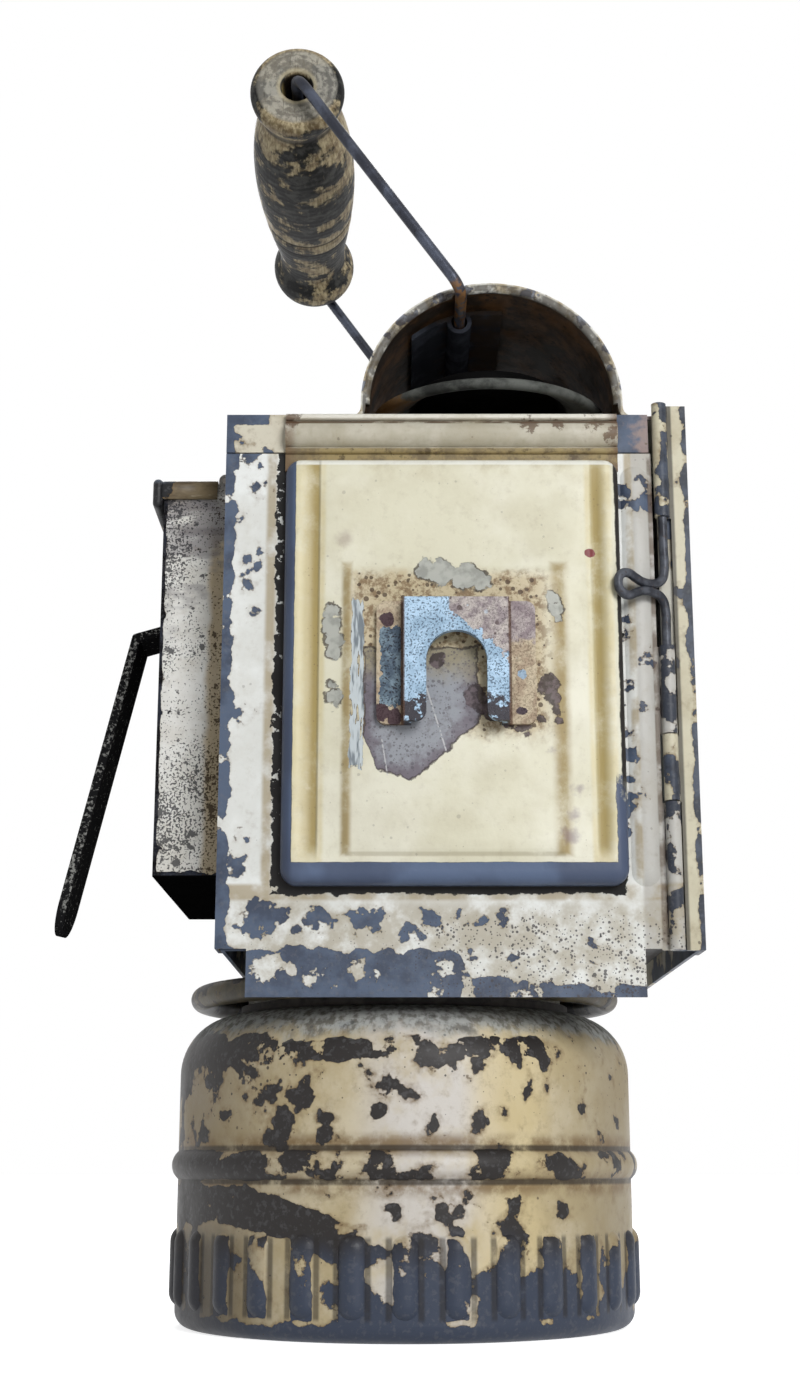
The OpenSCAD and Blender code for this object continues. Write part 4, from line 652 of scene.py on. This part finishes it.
# Painted highlight: a near-white line along the top edge of the panel.
paint = over(band(z, 180.2, 181.2, 0.4) * 0.8, paint, hue(240, 240, 232))
halo = ((x + 13) & (34 - x) & ((z - 118) * 0.8) & (157.5 - z)) + fray * 9
stain = smooth(halo, 0, 4) * (1 - smooth(x, 27.5, 31) * 0.6)
paint = over(stain * 0.66, paint, hue(186, 166, 128))
paint = over(specks(place, 0.7, smooth(dirt, 0.46, 0.62) * 0.45 + crease * 0.3, 21) * 0.6, paint, hue(122, 104, 76))
paint = over(stain * smooth(cloud(place, 2.6, 5, 0.7, 7), 0.45, 0.6) * 0.85, paint, hue(118, 94, 68))
paint = over(specks(place, 1.3, stain * 0.8 + 0.22, 9) * 0.85, paint, hue(72, 56, 46))
colour, rough, height, bared = enamel(place, paint, slate(place), -0.25, 6, 37, dirt=0.35)
rim = (smooth(x + fray * 0.6, -23.2, -23.4) | smooth(z + fray * 0.5, 93.9, 93.7)
       | (smooth(x + fray * 1.6, 43.4, 43.6) * smooth(z + fray * 24, 113, 109)))
colour = over(rim, colour, over(smooth(cloud(place, 16, 3, 0.5, 2), 0.4, 0.6), hue(74, 84, 106), hue(90, 104, 130)))
colour = over(smooth(x, -22.6, -24.4) * rim * 0.75, colour, hue(56, 64, 82))
# A near-black line down the rim's upper right edge, partly dirt and partly painted shade at the edge.
colour = over(smooth(x + fray * 1.2, 44.7, 45) * smooth(z, 106, 112), colour, hue(36, 33, 32))
lilac = ((z - 110.4) - (x - 0.8) * 0.84) & ((z - 113.8) + (x + 8.2) * 0.375) & ((z - 113.6) + (x + 5.9) * 2.4)
lilac = (lilac & (x + 8.6) & (15 - x) & (139 - z)) + fray * 5
bare_tin = over(
    smooth(lilac + (cloud(place, 4, 5, 0.65, 8) - 0.5) * 10, 4.5, 0.5), hue(148, 151, 157), hue(112, 106, 114))
bare_tin = over(smooth(z + fray * 10, 130, 137), bare_tin, hue(146, 138, 116))
bare_tin = over((specks(place, 1.1, 0.8, 16) | specks(place, 0.6, 0.9, 22)) * 0.6, bare_tin, hue(82, 78, 84))
colour = over(smooth(lilac, -0.1, 0.1), colour, bare_tin)
colour = over(
    smooth(lilac, -0.1, 0.1) * smooth(cloud(place, 1.6, 5, 0.7, 17), 0.5, 0.68) * 0.5, colour, hue(96, 90, 94))
scratch = ((band(x + z * 0.3 - 43.6, -0.12, 0.12, 0.08) & band(z, 117, 131, 0.5))
           | (band(x + z * 0.16 - 14.3, -0.1, 0.1, 0.08) & band(z, 112, 119, 0.5)))
colour = over(scratch * smooth(cloud(place, 1.2, 3, 0.6, 18), 0.4, 0.5) * 0.8, colour, hue(196, 196, 196))
colour = over(band(lilac, -0.15, 0.2, 0.2) * 0.7, colour, hue(70, 62, 60))
dulled = [
    (4.2, 156.3, 2.3), (8.2, 155.6, 3.2), (12.6, 154.6, 3.2), (16, 153.6, 2.2), (-15.2, 147.2, 2),
    (-14.9, 144, 2.3), (-14.8, 141, 2.1), (-14.9, 138.4, 1.7), (-15.3, 131.4, 1.3), (-14.9, 128.8, 1.6),
    (-14.5, 126.6, 1.1), (31.4, 150, 1.5), (31.8, 147.4, 1.4), (32.2, 145.4, 0.8)]
dulled = marks(place, at_depth(-55.6, dulled)) + fray * 6
tin = smooth(dulled, 0, 0.12)
colour = over(tin, colour, over(smooth(cloud(place, 3, 5), 0.4, 0.6), hue(150, 151, 144), hue(176, 177, 169)))
colour = over(
    band(dulled, -0.2, 0.15, 0.2) * smooth(cloud(place, 3, 4, 0.6, 11), 0.42, 0.55) * 0.85, colour, hue(84, 78, 70))
burnt = [
    (30, 130.6, 2.4), (30.8, 128, 1.9), (31.4, 125.4, 1.5), (31.6, 123.4, 1), (14.6, 128.6, 2.5),
    (16.6, 126.8, 1.7), (6.6, 136.2, 1.9), (18.6, 124.4, 1.5), (21.6, 123, 1.7), (24.4, 122.2, 1.8), (25, 120.4, 1),
    (28.4, 123.4, 1.1), (-18.6, 154.6, 0.6), (-14.6, 154.4, 0.9)]
burnt = smooth(marks(place, at_depth(-55.6, burnt)) + fray * 6, 0, 0.3)
colour = over(
    burnt * 0.92, colour, over(smooth(cloud(place, 2, 4, 0.65, 12), 0.46, 0.6), hue(52, 42, 44), hue(96, 84, 88)))
shard = cloud(drawn(place, 1, 1, 0.16), 1.5, 3, 0.6, 13)
strip = band(x + fray * 2.5, -11.3, -8.9, 0.5) & band(z + fray * 12, 114, 149, 1)
strip = smooth(strip * 0.3 + shard, 0.7, 0.73) * smooth(strip, 0.1, 0.3)
colour = over(strip, colour, over(smooth(shard, 0.5, 0.62), hue(196, 204, 207), hue(120, 128, 134)))
colour = over(band(strip, 0.1, 0.6, 0.1) * 0.8, colour, hue(60, 56, 54))
bruised = at_depth(-55, [(33.8, 99, 2), (34.8, 103.6, 1.3), (35.8, 109, 1.4), (30, 117, 0.8)])
purple = smooth(marks(place, bruised) + fray * 7, -0.6, 1.4)
colour = over(purple * 0.55, colour, hue(126, 108, 122))
colour = over(smooth(marks(place, [(39.4, -55, 160.2, 1.3)]) + fray * 1.5, 0, 0.1), colour, hue(122, 62, 64))
colour = over(smooth(marks(place, [(-12.9, -55, 163.1, 1.6)]) + fray * 4, -1, 1.4) * 0.4, colour, hue(126, 98, 92))
inside = over(smooth(cloud(place, 12, 6, 0.66, 19), 0.4, 0.62), hue(60, 52, 44), hue(110, 100, 84))
colour = over(smooth(y, -50.5, -50.2) * band(x, -25.4, 45.8, 0.1), colour, inside)
finish(
    shader, colour, rough + stain * 0.15,
    height - (smooth(lilac, -0.1, 0.1) | tin | burnt | strip | rim) * 0.15 - crease * 0.3)
low, high = corners("door_panel")
top, raised, corner, rounding = 181.8, 5, 3.4, 2.6
creases, crease_half, crease_flat, crease_deep = (-19.6, 40), 3.4, 0.5, 0.7
crease_foot, crease_head = (94.8, 98.6), (178, 172)
pad_left, pad_right, pad_foot, pad_head, pad_deep = (-13.4, -11.6), (33.8, 32), (94.8, 96.6), (157.4, 155), 0.8
mesh = bmesh.new()
bmesh.ops.create_grid(mesh, x_segments=1, y_segments=1, size=0.5)
bmesh.ops.rotate(mesh, cent=(0, 0, 0), matrix=Matrix.Rotation(pi / 2, 3, "X"), verts=mesh.verts)
bmesh.ops.scale(mesh, vec=(high.x - low.x, 1, top - low.z), verts=mesh.verts)
bmesh.ops.bevel(mesh, geom=mesh.verts[:], offset=corner, segments=7, profile=0.5, affect="VERTICES", material=-1)
grown = bmesh.ops.extrude_face_region(mesh, geom=mesh.faces[:])["geom"]
lifted = [part for part in grown if isinstance(part, bmesh.types.BMVert)]
bmesh.ops.translate(mesh, vec=(0, -raised, 0), verts=lifted)
bmesh.ops.translate(mesh, vec=((low.x + high.x) / 2, high.y, (low.z + top) / 2), verts=mesh.verts)
face_y = high.y - raised + 0.01
brow = [line for line in mesh.edges if all(point.co.y < face_y for point in line.verts)]
bmesh.ops.bevel(mesh, geom=brow, offset=rounding, segments=6, profile=0.5, affect="EDGES", material=-1)


def steps(start, stop, count):
    """Even steps from one number to another, both ends included."""
    return [start + (stop - start) * step / count for step in range(count + 1)]


def eased(value, low, high):
    """The same ease as smooth, for plain numbers."""
    part = min(max((value - low) / (high - low), 0), 1)
    return part * part * (3 - 2 * part)


slope = [crease_half, 2.4, 1.4, crease_flat]
upright = [middle + side for middle in creases for side in [-out for out in slope] + slope[::-1]]
upright += steps(*pad_left, 3) + steps(*pad_right, 3)
level = steps(*pad_foot, 3) + [crease_foot[1]] + steps(*pad_head, 3) + steps(*crease_head, 2)
cuts = [((at, 0, 0), (1, 0, 0)) for at in upright] + [((0, 0, at), (0, 0, 1)) for at in level]
for at, way in cuts:
    bmesh.ops.bisect_plane(mesh, geom=mesh.verts[:] + mesh.edges[:] + mesh.faces[:], plane_co=at, plane_no=way)
for point in mesh.verts:
    across, front, up = point.co
    if front < face_y:
        dip = max(eased(abs(across - middle), crease_half, crease_flat) for middle in creases)
        dip *= min(eased(up, *crease_foot), eased(up, *crease_head))
        pad = min(eased(across, *pad_left), eased(across, *pad_right), eased(up, *pad_foot), eased(up, *pad_head))
        point.co.y += crease_deep * dip - pad_deep * pad
skin = skinned(mesh)
for face in skin.polygons:
    face.use_smooth = face.normal.y < 0.9
piece("pressed_panel", skin, material, "door", "worn_cream", "door_panel")

# Door rail: a rolled moulding along the door's top, with a painted highlight along its upper lip. Grey-cream paint
# over a rounded band, olive dirt in the groove on either side and rust at both ends.
material, shader, place, x, y, z = begin("rail_paint")
paint = over(smooth(cloud(place, 14, 5, 0.6, 1), 0.4, 0.6), hue(176, 170, 152), hue(196, 191, 176))
dirt = cloud(place, 6, 6, 0.7, 3)
strip = smooth(z, 185.4, 184.7)
paint = over(strip * 0.9, paint, over(smooth(dirt, 0.42, 0.6), hue(144, 126, 80), hue(96, 80, 50)))
paint = over(strip * smooth(cloud(place, 3, 5, 0.7, 5), 0.54, 0.64) * 0.8, paint, hue(70, 58, 38))
groove = band(z, 190.7, 191.3, 0.5) * smooth(dirt + smooth(abs(x - 8), 8, 34) * 0.2, 0.36, 0.56)
paint = over(groove, paint, hue(78, 60, 40))
# Painted highlight: the upper lip is painted near white.
paint = over(smooth(z, 191.8, 192.2) * 0.85, paint, hue(228, 225, 214))
rusted = at_depth(-53, [(27, 190.8, 2.4), (33, 190.6, 1.6), (41, 191, 2.2), (45, 188, 2), (-24.6, 191.4, 2.4)])
rusted = smooth(marks(place, rusted) + (cloud(place, 2, 5, 0.7, 7) - 0.5) * 8, 0, 0.8)
paint = over(rusted * 0.8, paint, hue(84, 60, 42))
ends = smooth(abs(x - 10.2), 33, 36)
paint = over(ends * smooth(dirt, 0.3, 0.55) * 0.85, paint, hue(96, 72, 52))
colour, rough, height, bared = enamel(place, paint, hue(96, 84, 72), ends * 0.06 - 0.2, 5, 41, dirt=0.6)
finish(shader, colour, rough, height)
dress(material, "door_rail")

# Hanger bracket: a pressed plate with an open slot, standing off two feet soldered to the pad, for a lamp iron. It
# is galvanised, blue-grey with fine pits, with a painted highlight along its left and top edges, browned at the
# upper right and on its feet, and a brown line where it meets each foot that is partly rust and partly painted
# shadow.
material, shader, place, x, y, z = begin("bracket_zinc")
pit = smooth(cloud(place, 0.4, 3, 0.6, 1), 0.52, 0.66)
fray = torn(place, 4, 4, 1.2, 5)
# Painted highlight: the zinc is lighter along the plate's left and top edges.
brow = (smooth(x, 3, 0) | smooth(z, 145.4, 148)) * 0.6
zinc = over(smooth(cloud(place, 5, 4, 0.6, 2), 0.38, 0.62) | brow, hue(136, 162, 184), hue(168, 195, 218))
zinc = over(pit * 0.85, zinc, hue(76, 88, 102))
mauve = smooth((x - 9) * 0.8 + (z - 146) + fray * 17, -0.15, 0.15) & smooth(x + fray * 3, 9, 9.4)
brown = over(smooth(cloud(place, 2.4, 5, 0.65, 6), 0.4, 0.6), hue(130, 120, 122), hue(170, 162, 157))
brown = over(specks(place, 2.6, 0.9, 7) * 0.7, brown, hue(160, 170, 182))
brown = over(specks(place, 2, 0.8, 8) * 0.8, brown, hue(74, 60, 60))
zinc = over(mauve, zinc, brown)
legs = smooth(z + fray * 12, 127.2, 126.8) * smooth(cloud(place, 2.6, 4, 0.6, 9), 0.4, 0.44)
zinc = over(legs, zinc, over(pit, hue(52, 50, 56), hue(84, 82, 88)))
left_foot = smooth(x, -0.2, -0.6)
right_foot = smooth(x, 21.6, 22)
tan = over(smooth(cloud(place, 3, 5, 0.65, 10), 0.42, 0.6), hue(182, 168, 144), hue(152, 134, 114))
blue = over(
    pit, over(smooth(cloud(place, 3, 4, 0.6, 11), 0.4, 0.6), hue(70, 84, 98), hue(112, 130, 142)), hue(50, 48, 54))
left_paint = over(
    smooth(band(z + fray * 10, 127, 142, 2) * band(x + fray * 4, -4.8, -1, 0.8) + fray, 0.5, 0.56), tan, blue)
rusted = at_depth(-58, [(-3.6, 144.6, 1.7), (-5, 124.6, 2), (-2, 123.6, 1.8)])
left_paint = over(smooth(marks(place, rusted) + fray * 4, 0, 0.2), left_paint, hue(66, 50, 54))
right_paint = over(
    smooth(z + fray * 12, 139, 141), tan,
    over(smooth(cloud(place, 3, 4, 0.6, 12), 0.42, 0.58), hue(132, 120, 123), hue(160, 150, 149)))
bright, dark = [(24.6, 132.6, 1.2), (23.4, 136.2, 0.8)], [(24.2, 125, 1.4), (26, 128.6, 0.8)]
for spots, tint in ((bright, hue(140, 160, 178)), (dark, hue(66, 56, 62))):
    right_paint = over(smooth(marks(place, at_depth(-58, spots)) + fray * 3, 0, 0.15), right_paint, tint)
colour = over(right_foot, over(left_foot, zinc, left_paint), right_paint)
feet = left_foot | right_foot
rust = smooth(edges(x, y, z, "hanger_bracket", 1.2) + fray * 0.9, 0.3, 0.6) * feet
# Rust along the feet's edges, and a brown line where the plate meets each foot, partly rust and partly painted
# shadow.
colour = over((rust | band(x, -0.7, -0.2, 0.3) | band(x, 21.6, 22.1, 0.3)) * 0.85, colour, hue(80, 56, 42))
finish(shader, colour, pit * 0.1 + feet * 0.12 + 0.4, pit * -0.07 + fray * 0.15 * feet, 0.15)
dress(material, "hanger_bracket")

# Hinge pin: one steel wire run through the barrels, pinched out to a finger loop between them so that it can
# be drawn and the door lifted off. It is dark slate, a little brown in the loop.
material, shader, place, x, y, z = begin("pin_steel")
blue = smooth(cloud(place, 4, 5, 0.62), 0.4, 0.62)
pits = smooth(cloud(place, 0.8, 3, 0.6, 4), 0.58, 0.68)
colour = over(pits * 0.6, over(blue, hue(46, 48, 54), hue(80, 83, 90)), hue(62, 50, 44))
finish(shader, colour, blue * 0.1 + 0.36, pits * -0.04, 0.3)
bent = [
    (0, 9), (0, 4.6), (-0.7, 2.2), (-2.6, 1.05), (-5.6, 0.95), (-7.6, 1.7), (-9.4, 2.45), (-11.2, 1.9), (-12, 0)]
route = [(0, -76.5), (0, -40)] + [(out, -up) for out, up in bent[:-1]] + bent[::-1] + [(0, 25), (0, 42.6)]
hinge, loop_high, loop_turn, pin_radius = pivot("door_swing"), 153.05, radians(27.8), 1
lean = Vector((cos(loop_turn), sin(loop_turn), 0))
route = [(Vector((hinge.x, hinge.y, loop_high + up)) + lean * out,) for out, up in route]
piece("looped_pin", wire_skin(route, pin_radius), material, "door", "dark_steel", "hinge_pin")

# Reflector: a shallow spun dish with a silvered face, held to the inside of the door by a stud. The silver has
# a haze on it, and the stud is plain tin.
material, shader, place, x, y, z = begin("silvered_dish")
haze = smooth(cloud(place, 9, 6, 0.65), 0.4, 0.68)
finish(shader, over(haze, hue(226, 224, 218), hue(190, 182, 166)), haze * 0.2 + 0.1, haze * 0.01, 1.0)
dress(material, "reflector")
dress(plate("stud_tin", hue(160, 156, 148), hue(116, 108, 98), 0.4, 0.85), "reflector_stud")

# Water tank: a narrow box of sheet soldered to the side of the housing, with a lid hinged on a pin. Its white paint
# is peppered with pinhead rust and darker along the edges, with painted shade down its front next to the housing
# and on its underside; the lid is brown, and slate where it bulges, painted lighter on top and near black below as
# shade.
material, shader, place, x, y, z = begin("tank_paint")
paint = over(smooth(cloud(place, 16, 5, 0.6, 1), 0.38, 0.6), hue(218, 216, 209), hue(232, 231, 226))
facing = smooth(y, -33, -33.6)
paint = over(
    smooth(x + (cloud(place, 8, 3, 0.5, 2) - 0.5) * 3, -44.4, -42.6) * smooth(z, 174, 168) * 0.75, paint,
    hue(188, 166, 126))
hazy = smooth(cloud(drawn(place, 0.5, 1, 1), 6, 4, 0.62, 5) + smooth(z, 150, 180) * 0.16, 0.5, 0.66)
paint = over(hazy * smooth(z, 128, 170) * 0.75, paint, hue(132, 128, 130))
paint = over((band(z, 177.6, 179, 1) | band(z, 171.6, 172.4, 0.8)) * facing * 0.5, paint, hue(112, 108, 110))
bare = over(smooth(cloud(place, 9, 4), 0.42, 0.58), hue(32, 31, 32), hue(54, 57, 66))
wear = edges(x, y, z, "water_tank", 1.8) * 0.3 + smooth(z, 96, 94.5) * 0.25 - 0.16
wear = wear + smooth(x, -53.2, -54) * facing * 0.3
colour, rough, height, bared = enamel(place, paint, bare, wear, 5, 43, dirt=0.5)
crowd = (cloud(place, 11, 5, 0.66, 47) - 0.56) * 1.3 + smooth(x, -46, -52) * 0.08 * facing + 0.5
pepper = smooth(cloud(place, 0.5, 2, 0.5, 45) + crowd * 0.4, 0.765, 0.79)
pepper = pepper | specks(place, 1.3, smooth(crowd, 0.36, 0.64) * 0.85, 46)
pepper = pepper | smooth(cloud(place, 2.2, 4, 0.68, 48) + crowd * 0.3, 0.74, 0.77)
colour = over(pepper * 0.85, colour, over(smooth(x, -45, -43), hue(58, 58, 62), hue(66, 54, 44)))
# Painted shade: dark brown down the front's right edge, next to the housing.
colour = over(smooth(x, -39.8, -38.8) * facing * 0.85, colour, hue(60, 50, 40))
# Painted shade: the underside is near black.
colour = over(smooth(z, 94.4, 94.1), colour, hue(20, 20, 20))
finish(shader, colour, rough, height - pepper * 0.1, gloss=0)
dress(material, "water_tank")
material, shader, place, x, y, z = begin("lid_paint")
paint = over(smooth(cloud(drawn(place, 0.3, 1, 1), 4, 5, 0.65, 2), 0.36, 0.62), hue(74, 62, 48), hue(128, 114, 90))
paint = over(smooth(cloud(drawn(place, 0.15, 1, 1), 1.5, 4, 0.6, 4), 0.6, 0.66) * 0.7, paint, hue(186, 180, 164))
wear = smooth(x, -50.5, -53.5) * 0.36 - 0.1
# The bare slate of the bulge is lighter on top and near black below: painted light and shade on the roll.
bare = over(
    smooth(z, 184.6, 182.6), over(smooth(cloud(place, 5, 4), 0.42, 0.58), hue(62, 66, 74), hue(104, 112, 124)),
    hue(30, 30, 32))
colour, rough, height, bared = enamel(place, paint, bare, wear, 5, 49)
finish(shader, colour, rough, height)
low, high = corners("tank_lid")
deep, half_way = high.y - low.y, (low.y + high.y) / 2
sheet, fold, lip_round, barrel_radius, barrel_long = 0.9, 1.6, 1.12, 1.5, 28
mesh = bmesh.new()
block(mesh, (13.4, deep, 4.6), (-48.9, half_way, 181.8))
open_sides = [face for face in mesh.faces if max(face.normal.x, face.normal.y, -face.normal.z) > 0.9]
bmesh.ops.delete(mesh, geom=open_sides, context="FACES")
folds = [line for line in mesh.edges if len(line.link_faces) == 2]
bmesh.ops.bevel(mesh, geom=folds, offset=fold, segments=5, profile=0.5, affect="EDGES", material=-1)
bmesh.ops.solidify(mesh, geom=mesh.faces[:], thickness=sheet)
lip = block(mesh, (2.3, deep + 0.6, 6.8), (-55.6, half_way, 180.9))
around = [line for line in mesh.edges if all(point in lip for point in line.verts)]
bmesh.ops.bevel(mesh, geom=around, offset=lip_round, segments=5, profile=0.5, affect="EDGES", material=-1)
barrel = bmesh.ops.create_cone(mesh, cap_ends=True, segments=24, radius1=barrel_radius, radius2=barrel_radius,
                               depth=barrel_long)["verts"]
bmesh.ops.rotate(mesh, cent=(0, 0, 0), matrix=Matrix.Rotation(pi / 2, 3, "X"), verts=barrel)
hinge = pivot("lid_swing")
bmesh.ops.translate(mesh, vec=(hinge.x, half_way, hinge.z), verts=barrel)
piece("folded_lid", skinned(mesh), material, "lid", "worn_cream", "tank_lid")
dress(plate("lid_pin_steel", hue(112, 108, 104), hue(74, 66, 60), 0.4, 0.9), "lid_pin")

# Belt hook: a strap of spring steel bent over and riveted to the tank. It is near black all over, partly black
# lacquer and partly painted shade on its inner face, and grey steel shows through in specks on the edges.
material, shader, place, x, y, z = begin("hook_lacquer")
rubbed = smooth(abs(y - 2.5), 6.9, 7.15)
speck = smooth(
    cloud(place, 0.9, 5, 0.68, 1) + rubbed * 0.08 + (cloud(drawn(place, 1, 1, 0.3), 6, 3, 0.6, 3) - 0.5) * 0.25,
    0.6, 0.68)
# Near black all over: black lacquer, and on the inner face partly painted shade.
colour = over(speck * 0.9, hue(36, 36, 37), hue(150, 150, 146))
finish(shader, colour, speck * 0.1 + 0.5, speck * -0.06, gloss=0)
dress(material, "belt_hook", "hook_rivets")

# Valve and pipes: turned brass, let into the tank's floor and top. The knob lifts a needle off its seat and
# water drips to the carbide; the gas comes up the other pipe, brown with smoke, to the burner and its stone tip.
dress(plate("turned_brass", hue(196, 160, 92), hue(130, 100, 56), 0.3, 1.0, 5),
      "valve_seat", "valve_needle", "valve_bush", "valve_knob", "drip_tube")
dress(plate("smoked_brass", hue(168, 132, 78), hue(84, 66, 46), 0.36, 1.0, 6), "gas_tube", "burner_body")
material, shader, place, x, y, z = begin("burner_stone")
soot = smooth(z + cloud(place, 3, 5, 0.65) * 5, 131, 135)
finish(shader, over(soot * 0.7, hue(216, 208, 192), hue(70, 62, 56)), soot * 0.2 + 0.5, cloud(place, 0.8) * 0.05)
dress(material, "burner_tip")

# Lens: a thick pressed bull's-eye on the far wall, bedded on rubber in a spun bezel with small screws. The glass
# is faintly green, the bezel nickel gone grey.
material, shader, place, x, y, z = begin("pressed_glass")
smear = smooth(cloud(place, 14, 5, 0.65), 0.42, 0.7)
finish(
    shader, over(smear, hue(240, 248, 242), hue(226, 238, 230)), smear * 0.06 + 0.02, cloud(place, 9, 3) * 0.05,
    gloss=0.5)
shader.inputs["Transmission Weight"].default_value = 1
shader.inputs["IOR"].default_value = 1.51
dress(material, "lens")
dress(plate("grey_nickel", hue(176, 172, 164), hue(120, 114, 106), 0.3, 0.9, 6), "lens_bezel")
dress(plate("screw_steel", hue(134, 130, 124), hue(84, 78, 72), 0.36, 0.9, 3), "bezel_screws")


# Floor and light: a plain white table under a pale sky, one large soft lamp in front to the right, a weak one at
# the left and one behind.
def looked_at(tree):
    """1 for rays that look at a thing, straight, in a gloss or through glass, and 0 for those that light others."""
    path = Tone(tree).node("ShaderNodeLightPath")
    return path | path.other("Is Glossy Ray") | path.other("Is Transmission Ray")


material, shader, place, x, y, z = begin("table_white")
seen = looked_at(material.node_tree)
finish(shader, over(smooth(cloud(place, 300, 3), 0.3, 0.7), hue(238, 238, 239), hue(242, 242, 242)), 0.8)
shader.inputs["Emission Strength"].default_value = 1
pale = over(smooth(reach(x, y), 150, 500), [0.78, 0.78, 0.78, 1], [1, 1, 1, 1])
seen.tree.links.new(over(seen, [0, 0, 0, 1], pale).socket, shader.inputs["Emission Color"])
mesh = bmesh.new()
bmesh.ops.create_grid(mesh, x_segments=4, y_segments=4, size=6)
skin = bpy.data.meshes.new("table")
mesh.to_mesh(skin)
mesh.free()
skin.materials.append(material)
table = bpy.data.objects.new("table", skin)
bpy.context.scene.collection.objects.link(table)

sky = bpy.data.worlds.new("sky")
bpy.context.scene.world = sky
sky.use_nodes = True
shade = over(looked_at(sky.node_tree), [0.19, 0.195, 0.2, 1], [1, 1, 1, 1])
shade.tree.links.new(shade.socket, sky.node_tree.nodes["Background"].inputs["Color"])
lamps = (("front_lamp", (0.36, -0.93, 0.45), 0.4, 7.1), ("left_lamp", (-0.8, -0.5, 0.35), 0.6, 0.25),
         ("back_lamp", (-0.1, 0.9, 0.8), 0.5, 5.0))
aim = Vector((0, 0, 0.13))
for name, stand, wide, power in lamps:
    lamp = bpy.data.lights.new(name, "AREA")
    lamp.size = wide
    lamp.energy = power
    lit = bpy.data.objects.new(name, lamp)
    lit.location = stand
    lit.rotation_euler = (Vector(stand) - aim).to_track_quat("Z", "Y").to_euler()
    bpy.context.scene.collection.objects.link(lit)
bpy.context.scene.view_settings.view_transform = "Standard"
